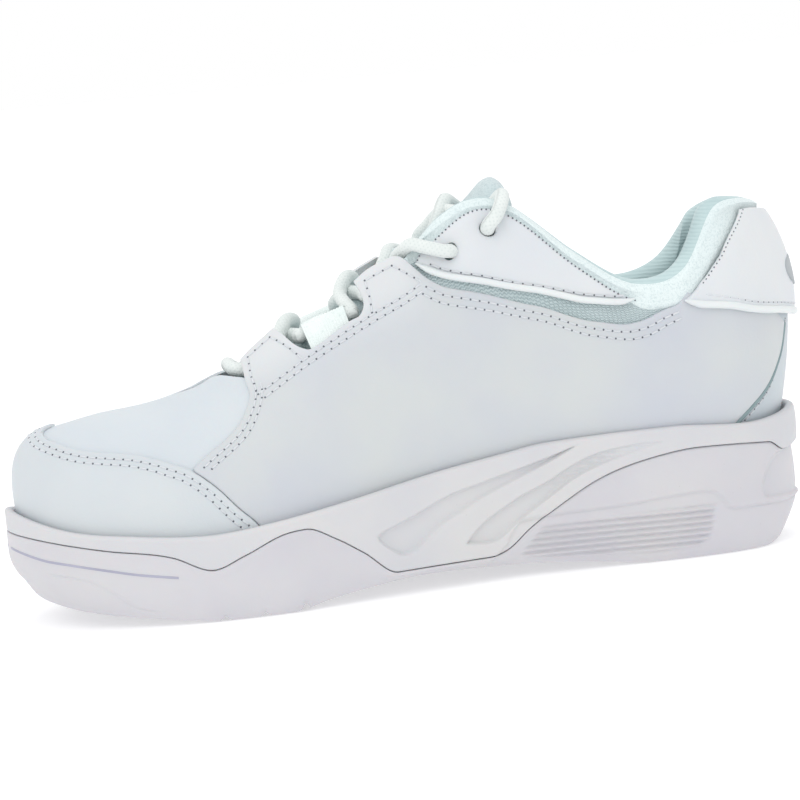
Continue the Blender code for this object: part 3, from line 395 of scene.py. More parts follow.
def flat_mesh(side, rims, rim, spacing):
    """Triangles over a (t, v) region. Two rows of points follow its rims, where the cut edge is rounded."""
    edges, start = [], 0
    for r in rims:
        edges += [(start + i, start + (i + 1) % len(r)) for i in range(len(r))]
        start += len(r)
    outlines = [r * SPREAD for r in rims]
    lines = [pair for outline in outlines for pair in segments(outline)]
    rows = []
    for r in rims:
        closed = np.concatenate([r[-2:], r, r[:2]])
        rows += [shifted(side, closed, reach)[2:-2] for reach in (0.3 * rim, rim)]
    grid = [(t, v) for t in np.arange(0, 1.0001, spacing / SPREAD[0])
            for v in np.arange(0, 1.0001, spacing / SPREAD[1])]
    clouds = []
    for cloud, clearance in ((np.concatenate(rows), 0.12), (np.array(grid), 1.2 * rim + 0.7)):
        cloud = cloud * SPREAD
        cloud = cloud[inside(outlines[0], cloud)]
        clouds.append(cloud[distance_to(lines, cloud) > clearance])
    filling = np.concatenate(clouds)
    for hole in outlines[1:]:
        filling = filling[~inside(hole, filling)]
    cloud = np.concatenate(outlines + [filling])
    verts, _, triangles, *_ = delaunay_2d_cdt([Vector(p) for p in cloud], edges, [], 0, 1e-6)
    verts = np.array([tuple(p) for p in verts])
    triangles = np.array([tuple(tri) for tri in triangles])
    middles = verts[triangles].mean(axis=1)
    keep = inside(outlines[0], middles)
    for hole in outlines[1:]:
        keep &= ~inside(hole, middles)
    one, two = (verts[triangles[:, k]] - verts[triangles[:, 0]] for k in (1, 2))
    keep &= np.abs(one[:, 0] * two[:, 1] - one[:, 1] * two[:, 0]) > 1e-3
    return verts / SPREAD, triangles[keep]


def fine_sheet(name, parts, top, thickness, look, rim=0.55, spacing=3.0, edge=1.7, puff=None, **facts):
    """Closed sheet with softly rounded cut edges, over the (side, loop, holes) parts.

    top is the depth of its outer face, a number or a function of (side, t, v); puff adds height.
    """
    points, normals, depths, uvs, faces = [], [], [], [], []
    for side, loop, holes in parts:
        loop = dense(np.asarray(loop, float), edge)
        if np.sum(loop[:, 0] * np.roll(loop[:, 1], -1) - np.roll(loop[:, 0], -1) * loop[:, 1]) < 0:
            loop = loop[::-1]
        rims = [loop] + [np.asarray(h)[::-1] for h in holes]
        tv, triangles = flat_mesh(side, rims, rim, spacing)
        p = last_point(side, *tv.T)
        n = last_frame(side, *tv.T)[0]
        cut = [pair for r in rims for pair in segments(r) if not on_seam(*pair)]
        starts, ends = (last_point(side, *np.array(row).T) for row in zip(*cut))
        away = distance_to(list(zip(starts, ends)), p)
        round_off = rim * (1 - np.sqrt(1 - (1 - np.minimum(away, rim) / rim) ** 2))
        base = top(side, *tv.T) if callable(top) else np.full(len(tv), float(top))
        near = base + round_off - (puff(side, *tv.T, away) if puff else 0.0)
        tree = KDTree(max(1, len(points)))
        for k, q in enumerate(points):
            tree.insert(q, k)
        tree.balance()
        ids, second = {}, len(points) > 0
        for k in sorted({int(k) for k in triangles.ravel()}):
            _, index, gap = tree.find(p[k]) if second else (None, None, None)
            if gap is not None and gap < SAME_POINT:
                ids[k] = index
                normals[index] = normals[index] + n[k]
            else:
                ids[k] = len(points)
                points.append(p[k])
                normals.append(n[k].copy())
                depths.append((near[k], base[k]))
                uvs.append(tv[k] * SPREAD * (side, 1))
        corner = p[triangles]
        facing = np.einsum("ij,ij->i", np.cross(corner[:, 1] - corner[:, 0], corner[:, 2] - corner[:, 0]),
                           n[triangles].sum(axis=1))
        for tri, way in zip(triangles, facing):
            a, b, c = (ids[int(i)] for i in tri)
            if len({a, b, c}) == 3:
                faces.append((a, b, c) if way > 0 else (a, c, b))
    points, normals, depths = np.array(points), np.array(normals), np.array(depths)
    normals /= np.linalg.norm(normals, axis=1)[:, None]
    outer = points - normals * depths[:, :1]
    inner = points - normals * (depths[:, 1:] + thickness)
    count = len(points)
    directed = {edge: True for a, b, c in faces for edge in ((a, b), (b, c), (c, a))}
    rim_faces = [(b, a, a + count, b + count) for a, b in directed if (b, a) not in directed]
    back = [(a + count, c + count, b + count) for a, b, c in faces]
    return finish_mesh(name, np.concatenate([outer, inner]), faces + back + rim_faces, look,
                       uvs=uvs + uvs, **facts)


def ring_faces(n, m):
    """Faces of a closed body through n rings of m points."""
    faces = [(i * m + j, i * m + (j + 1) % m, (i + 1) * m + (j + 1) % m, (i + 1) * m + j)
             for i in range(n - 1) for j in range(m)]
    return faces + [tuple(range(m))[::-1], tuple(range((n - 1) * m, n * m))]


def grid_mesh(name, rings, look, uvs=None, **facts):
    """Closed body through equal rings of points."""
    rings = np.asarray(rings, float)
    flat_uvs = None if uvs is None else np.asarray(uvs).reshape(-1, 2)
    return finish_mesh(name, rings.reshape(-1, 3), ring_faces(*rings.shape[:2]), look, uvs=flat_uvs, **facts)


def headings(path):
    """Unit direction of travel at each point."""
    ahead = np.gradient(path, axis=0)
    return ahead / np.linalg.norm(ahead, axis=1)[:, None]


def tube_rows(path, radius, corners=14, flat=1.0, guide=None):
    """Rings round a path by parallel transport; flat squeezes the ring along its first direction."""
    path = np.asarray(path, float)
    ahead = headings(path)
    side = np.cross(ahead[0], guide if guide is not None else (0.0, 0.0, 1.0))
    rows = []
    radius = np.broadcast_to(np.asarray(radius, float), (len(path),))
    for p, d, r in zip(path, ahead, radius):
        side = side - d * (side @ d)
        side /= np.linalg.norm(side)
        third = np.cross(d, side)
        rows.append([p + r * (math.cos(a) * side + flat * math.sin(a) * third)
                     for a in (2 * math.pi * k / corners for k in range(corners))])
    return np.array(rows)


def tube(name, path, radius, look, corners=14, flat=1.0, guide=None, **facts):
    rows = tube_rows(path, radius, corners, flat, guide)
    around = 2 * math.pi * float(np.max(radius)) / corners
    uvs = [[(x, k * around) for k in range(corners)] for x in run_length(path)]
    return grid_mesh(name, rows, look, uvs=uvs, **facts)


# ---------------------------------------------------------------- materials
def srgb(r, g, b):
    return tuple(((c / 255 + 0.055) / 1.055) ** 2.4 if c > 10 else c / 255 / 12.92 for c in (r, g, b))


class Look:
    """A procedural material: tints mixed by noise, then layers of bump."""

    def __init__(self, name, tints, roughness, blotch, sheen=0.0, coat=0.0, specular=0.5, subsurface=0.0):
        self.mat = bpy.data.materials.new(name)
        self.mat.use_nodes = True
        self.tree = self.mat.node_tree
        self.shader = self.tree.nodes["Principled BSDF"]
        self.place = self.node("ShaderNodeTexCoord").outputs["Object"]
        for socket, value in (("Roughness", roughness), ("Specular IOR Level", specular),
                              ("Sheen Weight", sheen), ("Sheen Roughness", 0.4), ("Coat Weight", coat),
                              ("Coat Roughness", 0.35), ("Subsurface Weight", subsurface),
                              ("Subsurface Scale", 0.004)):
            self.put(socket, value)
        noise = self.noise(blotch, 3.0)
        ramp = self.node("ShaderNodeValToRGB")
        for stop, position, tint in zip(ramp.color_ramp.elements, (0.36, 0.64), tints):
            stop.position, stop.color = position, (*srgb(*tint), 1)
        self.join(noise, ramp.inputs["Fac"])
        self.colour = ramp.outputs["Color"]
        self.join(self.colour, self.shader.inputs["Base Color"])
        self.normal = None

    def node(self, kind):
        return self.tree.nodes.new(kind)

    def put(self, socket, value):
        self.shader.inputs[socket].default_value = value

    def join(self, a, b):
        self.tree.links.new(a, b)

    def uv(self):
        node = self.node("ShaderNodeUVMap")
        node.uv_map = "surface"
        return node.outputs["UV"]

    def noise(self, scale, detail=2.0, rough=0.5):
        node = self.node("ShaderNodeTexNoise")
        node.inputs["Scale"].default_value = scale
        node.inputs["Detail"].default_value = detail
        node.inputs["Roughness"].default_value = rough
        self.join(self.place, node.inputs["Vector"])
        return node.outputs["Fac"]

    def cells(self, scale, feature="F1"):
        node = self.node("ShaderNodeTexVoronoi")
        node.feature = feature
        node.inputs["Scale"].default_value = scale
        self.join(self.place, node.inputs["Vector"])
        return node.outputs["Distance"]

    def math(self, operation, a, b=0.0):
        node = self.node("ShaderNodeMath")
        node.operation = operation
        for socket, value in zip(node.inputs, (a, b)):
            if isinstance(value, (int, float)):
                socket.default_value = value
            else:
                self.join(value, socket)
        return node.outputs[0]

    def split(self, vector):
        node = self.node("ShaderNodeSeparateXYZ")
        self.join(vector, node.inputs[0])
        return node.outputs

    def wave(self, value, pitch):
        """Sine of a length in metres, from 0 to 1."""
        turned = self.math("MULTIPLY", value, 2 * math.pi / pitch)
        return self.math("ADD", self.math("MULTIPLY", self.math("SINE", turned), 0.5), 0.5)

    def bump(self, height, distance, strength=1.0):
        node = self.node("ShaderNodeBump")
        node.inputs["Strength"].default_value = strength
        node.inputs["Distance"].default_value = distance
        self.join(height, node.inputs["Height"])
        if self.normal is not None:
            self.join(self.normal, node.inputs["Normal"])
        self.normal = node.outputs["Normal"]
        self.join(self.normal, self.shader.inputs["Normal"])
        return self

    def shade(self, mask, tint, strength=1.0):
        """Mix a tint over the colour where the mask is high."""
        node = self.node("ShaderNodeMix")
        node.data_type = "RGBA"
        node.blend_type = "MIX"
        self.join(self.math("MULTIPLY", mask, strength), node.inputs["Factor"])
        self.join(self.colour, node.inputs[6])
        node.inputs[7].default_value = (*srgb(*tint), 1)
        self.colour = node.outputs[2]
        self.join(self.colour, self.shader.inputs["Base Color"])
        return self

    def threshold(self, value, low, high):
        node = self.node("ShaderNodeMapRange")
        node.interpolation_type = "SMOOTHSTEP"
        node.inputs["From Min"].default_value = low
        node.inputs["From Max"].default_value = high
        self.join(value, node.inputs["Value"])
        return node.outputs["Result"]


def leather_look(name, one, two, roughness=0.46, painted_light_tint=None):
    """Fine-grained leather; a given tint paints light onto its upper part, ahead of the heel, where the
    raised lace tabs catch the light from above.
    """
    look = Look(name, (one, two), roughness, blotch=22.0, coat=0.06, specular=0.45, subsurface=0.05)
    look.bump(look.cells(1500.0, feature="SMOOTH_F1"), 0.00005, 0.35)
    look.bump(look.noise(700.0, 4.0), 0.00006, 0.5)
    look.bump(look.noise(60.0, 3.0), 0.0006, 0.35)
    scuffs = look.threshold(look.noise(95.0, 6.0, rough=0.7), 0.66, 0.78)
    look.shade(scuffs, (196, 200, 204), 0.25)
    # Painted highlight: the upper part, ahead of the heel, is tinted lighter for the light falling on the
    # raised tabs from above.
    if painted_light_tint:
        u, v, _ = look.split(look.uv())
        behind = look.threshold(look.math("ABSOLUTE", u), 0.335, 0.355)
        top = look.math("MULTIPLY", look.threshold(v, 0.054, 0.076), look.math("SUBTRACT", 1.0, behind))
        look.shade(top, painted_light_tint, 0.9)
    return look.mat


def knit_look():
    """Knitted mesh: staggered stitches in rows, darker between them."""
    look = Look("knit_mesh", ((190, 206, 208), (202, 216, 218)), 0.85, blotch=60.0, sheen=0.3)
    u, v, _ = look.split(look.uv())
    sway = look.math("MULTIPLY", look.math("SINE", look.math("MULTIPLY", u, 2 * math.pi / 0.0027)), 0.00026)
    rows = look.wave(look.math("ADD", v, sway), 0.0013)
    columns = look.wave(look.math("ADD", u, look.math("MULTIPLY", v, 0.35)), 0.00135)
    height = look.math("ADD", look.math("MULTIPLY", rows, 0.75), look.math("MULTIPLY", columns, 0.25))
    look.shade(look.threshold(rows, 0.42, 0.05), (142, 163, 167), 0.6)
    look.bump(height, 0.00035, 0.9)
    look.bump(look.noise(2600.0, 2.0), 0.00008, 0.5)
    return look.mat


def terry_look(name, one, two, deep):
    """Looped pile, deeper in colour between the loops."""
    look = Look(name, (one, two), 0.9, blotch=40.0, sheen=0.5)
    loops = look.noise(1500.0, 3.0, rough=0.7)
    look.shade(look.threshold(loops, 0.52, 0.36), deep, 0.5)
    look.bump(loops, 0.0006, 0.8)
    look.bump(look.noise(420.0, 3.0), 0.0004, 0.4)
    return look.mat


def lining_look():
    """Fine knit with ribs parallel to the ground."""
    look = Look("lining_knit", ((178, 200, 202), (192, 212, 213)), 0.9, blotch=70.0, sheen=0.4)
    z = look.split(look.place)[2]
    wobble = look.math("MULTIPLY", look.noise(160.0, 3.0), 0.0012)
    ribs = look.wave(look.math("ADD", z, wobble), 0.00115)
    look.shade(look.threshold(ribs, 0.5, 0.05), (158, 182, 186), 0.25)
    look.bump(ribs, 0.0002, 0.5)
    look.bump(look.noise(2400.0, 3.0), 0.0001, 0.6)
    return look.mat


def lace_look():
    """Braided cord: two sets of strands that cross."""
    look = Look("lace_braid", ((226, 231, 229), (218, 225, 223)), 0.75, blotch=120.0, sheen=0.35)
    u, v, _ = look.split(look.uv())
    one = look.wave(look.math("ADD", u, look.math("MULTIPLY", v, 0.62)), 0.0013)
    two = look.wave(look.math("SUBTRACT", u, look.math("MULTIPLY", v, 0.62)), 0.0013)
    braid = look.math("MAXIMUM", one, two)
    look.shade(look.threshold(braid, 0.5, 0.1), (190, 202, 201), 0.35)
    look.bump(braid, 0.00018, 0.55)
    look.bump(look.noise(3000.0, 2.0), 0.00005, 0.5)
    return look.mat


def webbing_look():
    """Woven tape, ribbed across."""
    look = Look("loop_webbing", ((226, 236, 234), (234, 240, 239)), 0.75, blotch=120.0, sheen=0.3)
    look.bump(look.wave(look.split(look.uv())[1], 0.0007), 0.0001, 0.6)
    look.bump(look.noise(2600.0, 2.0), 0.00006, 0.5)
    look.shade(look.threshold(look.noise(900.0, 2.0), 0.6, 0.75), (198, 212, 211), 0.4)
    return look.mat


def sole_look(name, one, two, warm):
    """Moulded foam with a faint warm cast in patches and a few specks."""
    look = Look(name, (one, two), 0.52, blotch=30.0, specular=0.4, subsurface=0.08)
    look.shade(look.threshold(look.noise(18.0, 4.0), 0.52, 0.74), warm, 0.45)
    specks = look.threshold(look.cells(330.0), 0.075, 0.03)
    gate = look.threshold(look.noise(14.0, 2.0), 0.56, 0.66)
    look.shade(look.math("MULTIPLY", specks, gate), (178, 176, 178), 0.5)
    look.bump(look.noise(420.0, 5.0, rough=0.65), 0.00012, 0.45)
    look.bump(look.noise(70.0, 3.0), 0.0006, 0.3)
    return look.mat


def plain_look(name, one, two, roughness=0.8, grain=900.0, sheen=0.0):
    look = Look(name, (one, two), roughness, blotch=80.0, sheen=sheen)
    look.bump(look.noise(grain, 3.0), 0.00012, 0.6)
    return look.mat


VAMP = leather_look("leather_vamp", (206, 212, 216), (200, 207, 213))
MUDGUARD = leather_look("leather_mudguard", (205, 210, 212), (198, 204, 209))
# The quarter's lighter upper part is a painted highlight on the raised lace tabs.
QUARTER = leather_look("leather_quarter", (200, 204, 205), (193, 197, 205), painted_light_tint=(212, 215, 217))
TAB = leather_look("leather_tab", (216, 219, 221), (210, 214, 219), 0.4)
BACKSTAY = leather_look("leather_backstay", (192, 200, 205), (186, 194, 201))
PIPING = leather_look("leather_piping", (224, 228, 228), (218, 223, 225), 0.4)
KNIT = knit_look()
TERRY = terry_look("collar_knit", (226, 238, 239), (231, 242, 242), (196, 214, 216))
TONGUE_LOOK = terry_look("tongue_knit", (198, 213, 216), (206, 220, 222), (172, 192, 196))
LINING = lining_look()
LACE, WEBBING = lace_look(), webbing_look()
MIDSOLE = sole_look("sole_foam", (201, 202, 206), (206, 206, 208), (209, 208, 205))
OUTSOLE = sole_look("sole_rubber", (203, 202, 206), (198, 197, 203), (206, 205, 204))
THREAD = plain_look("stitch_thread", (206, 210, 214), (213, 216, 220), 0.6, 4000.0)
NEEDLE = plain_look("needle_holes", (92, 96, 104), (112, 116, 124), 0.9, 3000.0)
# Colour of the dark strip along the quarters' rear edges: painted shade in the gap by the backstay.
EDGE_SHADE_STRIP = plain_look("painted_edge_shade", (128, 147, 150), (142, 160, 163), 0.9, 2200.0)
STRIPE = plain_look("toe_stripe", (160, 160, 178), (170, 170, 188), 0.5)
BADGE = plain_look("heel_badge", (158, 164, 168), (168, 174, 178), 0.45)
BOARD = plain_look("insole_board", (196, 188, 170), (206, 199, 184), 0.9, 600.0)
STIFF = plain_look("stiffener", (202, 204, 206), (212, 214, 216), 0.5, 500.0)
INSOLE = plain_look("insole_cloth", (192, 205, 206), (202, 213, 214), 0.9, 1600.0, 0.3)
FILM = plain_look("aglet_film", (216, 220, 220), (224, 226, 226), 0.25, 400.0)


# ---------------------------------------------------------------- sole
def outsole_wall(s):
    """Thickness of the outsole's wall at its top, where the midsole stands inside it."""
    return 1.9 + 2.1 * np.clip((level(BED, s) - level(SEAM, s) - 1) / 5, 0, 1)


def floor_inset(s):
    """Inset of the outsole's floor, inside its wall and its rounded edge."""
    return np.maximum(outsole_wall(s) + 1.0, level(TREAD_INSET, s))


def depth_in(polygon, s, z):
    """Signed distance into a closed (s, z) polygon, positive inside."""
    points = np.column_stack([s, z])
    loop = smooth_line(list(polygon) + [polygon[0]], count=4)[:-1]
    away = distance_to(segments(loop), points)
    return np.where(inside(loop, points), away, -away)


def near_line(line, s, z):
    """Distance to an open (s, z) line."""
    line = smooth_line(line, count=4)
    return distance_to(list(zip(line, line[1:])), np.column_stack([s, z]))


# Mouldings of the side wall, (s, z), and the cuts across the tread, (s, depth).
FRONT_LEAF = [(113, 19.8), (116, 21.8), (125, 24.8), (138, 29.9), (149, 32.4), (162, 35.4), (172, 38.0),
              (181, 40.6), (172, 36.2), (159, 31.3), (148, 27), (141, 23.7), (134, 20.3), (127, 15.0),
              (122, 12.9), (118, 14.6), (114, 17.8)]
REAR_LEAF = [(142, 13.4), (146, 17.4), (151, 21), (161, 26.3), (171, 30.3), (178, 34.0), (188, 37.6),
             (203, 39.4), (208, 38.4), (191, 34.2), (181, 30.6), (173, 26.0), (160, 18.0), (152, 12.7)]
RIM_LINE = [(160, 18.0), (170, 18.9), (193, 19.4), (212, 20.9), (222, 21.2), (226, 19.6), (228.5, 16.4),
            (231, 14.5), (241, 14.4), (254, 13.7), (262, 13.5)]
BELOW_RIM = RIM_LINE + [(266, 6.0), (266, -6.0), (150, -6.0), (156, 12.0)]
RIB_FIELD = [(168, 16.4), (190, 16.9), (223, 17.6), (225, 15.0), (219, 3.0), (188, 3.4), (163, 5.6),
             (161, 9.0)]
REAR_PANEL = [(249.5, 30.0), (246, 27.6), (243, 22.9), (242, 19.7), (243.5, 16.2), (252, 15.4), (268, 15.4),
              (268, 31)]
TOE_LINE = [(11, 17.9), (19, 16.5), (24, 14.7), (29, 11.2), (35, 6.3), (41, 4.6)]
STRIPE_LINE = [(0, 25.3), (9, 22.5), (17, 21.1), (27, 19.1), (37, 17), (49, 15.1)]
NOTCHES = [(62.5, 1.3), (75.0, 1.3), (88.0, 2.2)]
RIB_PITCH = 1.95
STATIONS = 330                       # points along each side of the sole
SEAM_GAP = 0.12                      # from the seam line to each of the two foams
SIDE_GAP = 0.45                      # from the outsole to the midsole inside it
BED_PLATE = 4.5                      # thickness of the outsole's floor
ROLL_POWER = 2.3                     # how soon the wall leaves its rounding under the edge


def sole_carving(s, z):
    """How far the mouldings of the side wall sink inward at (s, z)."""
    front = smooth_step(depth_in(FRONT_LEAF, s, z), -0.2, 0.75) * 1.5
    rear = smooth_step(depth_in(REAR_LEAF, s, z), -0.2, 0.8) * 1.7 * (1 - 0.75 * smooth_step(s, 180, 206))
    creases = np.sin(s * 0.9 + z * 1.7) * np.sin(s * 0.37 - z * 0.8 + 1.0)
    folds = 0.5 * creases * smooth_step(depth_in(REAR_LEAF, s, z), 0.3, 2.0) * smooth_step(s, 166, 176)
    rim = 0.65 * smooth_step(depth_in(BELOW_RIM, s, z), -0.1, 0.45)
    rim += 0.5 * np.exp(-(near_line(RIM_LINE, s, z) / 0.4) ** 2)
    field = smooth_step(depth_in(RIB_FIELD, s, z), 0.0, 1.6)
    ribs = -0.5 * field * np.sin(2 * math.pi * (z + 0.012 * (s - 190)) / RIB_PITCH)
    panel = 1.2 * smooth_step(depth_in(REAR_PANEL, s, z), -0.2, 0.8)
    toe = 0.3 * np.exp(-(near_line(TOE_LINE, s, z) / 0.4) ** 2)
    return front + rear + folds + rim + ribs + panel + toe


def even_stations(side):
    """Angle shares an equal distance apart along the outline."""
    fine = np.linspace(0, 1, 4001)
    run = run_length(outline_at(side, fine))
    return np.interp(np.linspace(0, run[-1], STATIONS + 1), run, fine)


def sole_ring(inset, height, carved=False, extra=0.0):
    """Closed ring round the sole: along the arch side, back along the outer side."""
    halves = []
    for side in (MEDIAL, LATERAL):
        u = even_stations(side)
        s = outline_at(side, u)[:, 0]
        depth = inset(s) if callable(inset) else np.full(len(s), float(inset))
        flat = inset_outline(side, u, depth)
        z = height(flat[:, 0]) + extra
        if carved:
            flat = inset_outline(side, u, depth + sole_carving(s, z))
        halves.append(np.column_stack([flat, z]))
    return np.concatenate([halves[0], halves[1][-2:0:-1]])


def quarter_round(g, radius):
    """Inset of an edge rounded to a radius, at distance g from the edge."""
    x = 1 - np.clip(g / radius, 0, 1)
    return radius * (1 - np.sqrt(1 - x * x))


def sole_body(name, rings, across, cap_shape, look, **facts):
    """Closed body through rings from the bottom cap up; the bottom cap is a grid shaped by cap_shape."""
    count = len(rings[0])
    half = count // 2
    points = [tuple(p) for ring in rings for p in ring]
    faces = ring_faces(len(rings), count)[:-2]
    strips = [[0]]
    for i in range(1, half):
        a, b = rings[0][i], rings[0][count - i]
        strip = [i]
        for share in np.linspace(0, 1, across + 1)[1:-1]:
            q = a + (b - a) * share
            q = np.array([q[0], q[1], q[2] + cap_shape(q[0], q[1], share)])
            strip.append(len(points))
            points.append(tuple(q))
        strips.append(strip + [count - i])
    strips.append([half])
    for one, two in zip(strips, strips[1:]):
        if len(one) == 1 or len(two) == 1:
            tip, row = (one[0], two) if len(one) == 1 else (two[0], one)
            faces += [(tip, row[j], row[j + 1]) for j in range(len(row) - 1)]
        else:
            faces += [(one[j], one[j + 1], two[j + 1], two[j]) for j in range(len(one) - 1)]
    start = (len(rings) - 1) * count
    for i in range(half):
        quad = [start + i, start + i + 1, start + (count - i - 1) % count, start + (count - i) % count]
        faces.append(tuple(dict.fromkeys(quad)))
    return finish_mesh(name, points, faces, look, sharp=55, **facts)


def tread_shape(s, y, share):
    """Grooves of the tread: flex notches across the forefoot and a zigzag pattern, kept off the edge."""
    border = smooth_step(min(share, 1 - share), 0.03, 0.09)
    zigzag = 2.6 * abs((y / 11.0) % 2 - 1)
    tooth = ((s + zigzag) % 7.0) / 7.0
    cut = smooth_step(abs(tooth - 0.5), 0.16, 0.06)
    return 1.1 * border * cut + notch_depth(s)


def flat_cap(s, y, share):
    return 0.0


def notch_depth(s):
    """Depth of the flex notches, which run out through the side wall."""
    return sum(d * np.clip(1 - np.abs(s - at) / 1.5, 0, 1) for at, d in NOTCHES)


def tread(s):
    return level(TREAD, s)


def make_outsole():
    """Cup sole: side wall from the tread up to the seam, then down inside to the floor."""
    shares = np.concatenate([np.linspace(0, 0.12, 7), np.linspace(0.12, 0.97, 96)[1:],
                             [0.98, 0.988, 0.995, 1.0]])

    def seam(s):
        return level(SEAM, s) - SEAM_GAP

    def height_at(share):
        return lambda s: (tread(s) + notch_depth(s) * (1 - smooth_step(share, 0.0, 0.14))
                          + share * (seam(s) - tread(s)))

    def inset_at(share):
        def inset(s):
            span = seam(s) - tread(s)
            rise = share * span
            roll = level(TREAD_INSET, s) * (1 - np.clip(rise / np.clip(span, 2, 13), 0, 1)) ** ROLL_POWER
            shadow = 0.85 * smooth_step(s, 160, 182) * np.exp(-(span - rise) / 5.0)
            return roll + quarter_round(span - rise, 0.55) + shadow
        return inset

    rings = [sole_ring(inset_at(x), height_at(x), carved=True) for x in shares]
    rings.append(sole_ring(outsole_wall, seam))
    rings.append(sole_ring(floor_inset, lambda s: np.minimum(tread(s) + BED_PLATE, seam(s) - 0.5)))
    sole_body("outsole_moulded", rings, 44, tread_shape, OUTSOLE, node="outsole")


def make_midsole():
    """Foam block: up inside the outsole, out to the side wall, and over the top edge to the bed."""
    shares = np.concatenate([[0, 0.006, 0.015, 0.03], np.linspace(0.03, 0.93, 74)[1:],
                             [0.95, 0.965, 0.98, 0.99, 1.0]])

    def seam(s):
        return level(SEAM, s) + SEAM_GAP

    def top(s):
        return level(TOP_EDGE, s)

    def floor(s):
        return np.minimum(tread(s) + BED_PLATE, level(SEAM, s) - 0.6)

    def height_at(share):
        return lambda s: seam(s) + share * (top(s) - seam(s))

    def inset_at(share):
        def inset(s):
            span = top(s) - seam(s)
            rise = share * span
            belly = -0.45 * np.sin(math.pi * share) * smooth_step(span, 6, 14)
            return 0.1 + quarter_round(rise, 0.6) + quarter_round(span - rise, 1.5) + belly
        return inset

    rings = [sole_ring(lambda s: floor_inset(s) + SIDE_GAP, floor, extra=SIDE_GAP),
             sole_ring(lambda s: outsole_wall(s) + SIDE_GAP, seam)]
    rings += [sole_ring(inset_at(x), height_at(x), carved=True) for x in shares]
    rings += [sole_ring(2.3, top, extra=0.1), sole_ring(2.9, top, extra=-0.5),
              sole_ring(4.3, lambda s: level(BED, s) - 0.4)]
    sole_body("midsole_moulded", rings, 4, flat_cap, MIDSOLE, node="midsole")


def make_toe_stripe():
    """Thin inlaid stripe round the toe."""
    rows = []
    line = smooth_line(STRIPE_LINE, count=12)
    for side, run in ((MEDIAL, line[::-1]), (LATERAL, line[1:])):
        u = turn(run[:, 0])
        for share_u, z, bottom, top in zip(u, run[:, 1], tread(run[:, 0]), level(SEAM, run[:, 0])):
            ring = []
            for dz, proud in ((-0.42, -0.2), (-0.34, 0.12), (0.34, 0.12), (0.42, -0.2)):
                share = min(1, (z + dz - bottom) / min(13, max(2, top - bottom)))
                s_here = np.array([LENGTH * (1 - math.cos(math.pi * share_u)) / 2])
                roll = level(TREAD_INSET, s_here)[0] * (1 - share) ** ROLL_POWER
                flat = inset_outline(side, np.array([share_u]), roll - proud)[0]
                ring.append((flat[0], flat[1], z + dz))
            rows.append(ring)
    grid_mesh("toe_stripe", rows, STRIPE, slot="outsole")


def make_insole():
    """Sockliner with a softly rounded rim."""
    def bed(s):
        return level(BED, s) + STROBEL + GAP

    rings = [sole_ring(LAST_INSET, bed)]
    for rise, step in ((0.3, -0.5), (SOCKLINER * 0.5, -0.9), (SOCKLINER - 0.7, -0.5),
                       (SOCKLINER - 0.15, 0.4), (SOCKLINER, 1.6), (SOCKLINER - 0.1, 6.0)):
        rings.append(sole_ring(LAST_INSET + step, bed, extra=rise))
    pad = sole_body("sockliner_pad", rings, 2, flat_cap, INSOLE, node="sockliner")


# ---------------------------------------------------------------- upper sheets
VAMP_DEPTH = 1.05
HEEL_TAB_PROUD = 1.15                # the heel tab lies over the quarters
TAB_LIFT = 2.6                       # the laced tabs stand off the foot by their tops
MESH_DEPTH = 1.25
SEAM_LINE = 0.0009                   # half gap between sheets that meet, in t
UNDER_TABS = 0.72                    # v where the sheets below the tabs end
PROUD = 0.03                         # stitches over the leather
BADGE_V, BADGE_HALF_WIDTH, BADGE_HALF_HEIGHT = 0.705, 16.0, 5.2
MUDGUARD_RUN = smooth_line(MUDGUARD_EDGE, count=5)
PANEL_LOW_RUN, PANEL_TOP_RUN = soften(smooth_line(PANEL_LOW), 3), soften(smooth_line(PANEL_TOP), 6)
HEEL_LOW_RUN = soften(smooth_line(HEEL_TAB_LOW))


def lining_depth(side, t, v):
    """Under the sheets; deeper under the toe puff, the heel counter and the collar's foam."""
    depth = np.full(len(t), 2 * LAYER)
    toe = np.clip((0.30 - t) / 0.10, 0, 1)
    counter = np.clip((t - 0.78) / 0.05, 0, 1) * np.clip((0.62 - v) / 0.08, 0, 1)
    foam = np.clip((t - 0.70) / 0.06, 0, 1) * np.clip((v - 0.36) / 0.12, 0, 1)
    depth = np.maximum(depth, 2 * LAYER + LAYER * np.maximum(toe, counter))
    return np.maximum(depth, 2 * LAYER + (FOAM + 2 * LAYER_GAP) * foam)


def outer_tab(side, line):
    """The outer side's lower lace tab is shorter: its points come down towards its base."""
    line = np.array(line, float)
    if side == LATERAL:
        share = smooth_step(line[:, 0], 0.53, 0.49) * smooth_step(line[:, 0], 0.40, 0.43)
        line[:, 1] -= 0.62 * share * np.maximum(0.0, line[:, 1] - 0.74)
    return line


def unit_lengths(side, t, v):
    """True lengths of one unit of t and of v at a point."""
    _, along, up = last_frame(side, np.array([t]), np.array([v]))
    return np.linalg.norm(along), np.linalg.norm(up)


def eyelet_holes(side):
    holes = []
    for t, v in EYELETS:
        a, b = unit_lengths(side, t, v)
        holes.append(np.array([(t + EYELET_RADIUS * math.cos(x) / a, v + EYELET_RADIUS * math.sin(x) / b)
                               for x in (2 * math.pi * k / 20 for k in range(20))]))
    return holes


def join_runs(*runs):
    """One loop from smooth runs that meet end to end."""
    out = []
    for run in runs:
        line = smooth_line(run, count=5) if len(run) > 2 else np.array(run, float)
        out += list(line if not out or np.linalg.norm(out[-1] - line[0]) > 1e-6 else line[1:])
    if np.linalg.norm(out[0] - out[-1]) < 1e-6:
        out.pop()
    return np.array(out)


def both(loop, holes=None):
    """The same (t, v) region on both sides."""
    return [(side, loop, holes(side) if holes else ()) for side in (MEDIAL, LATERAL)]


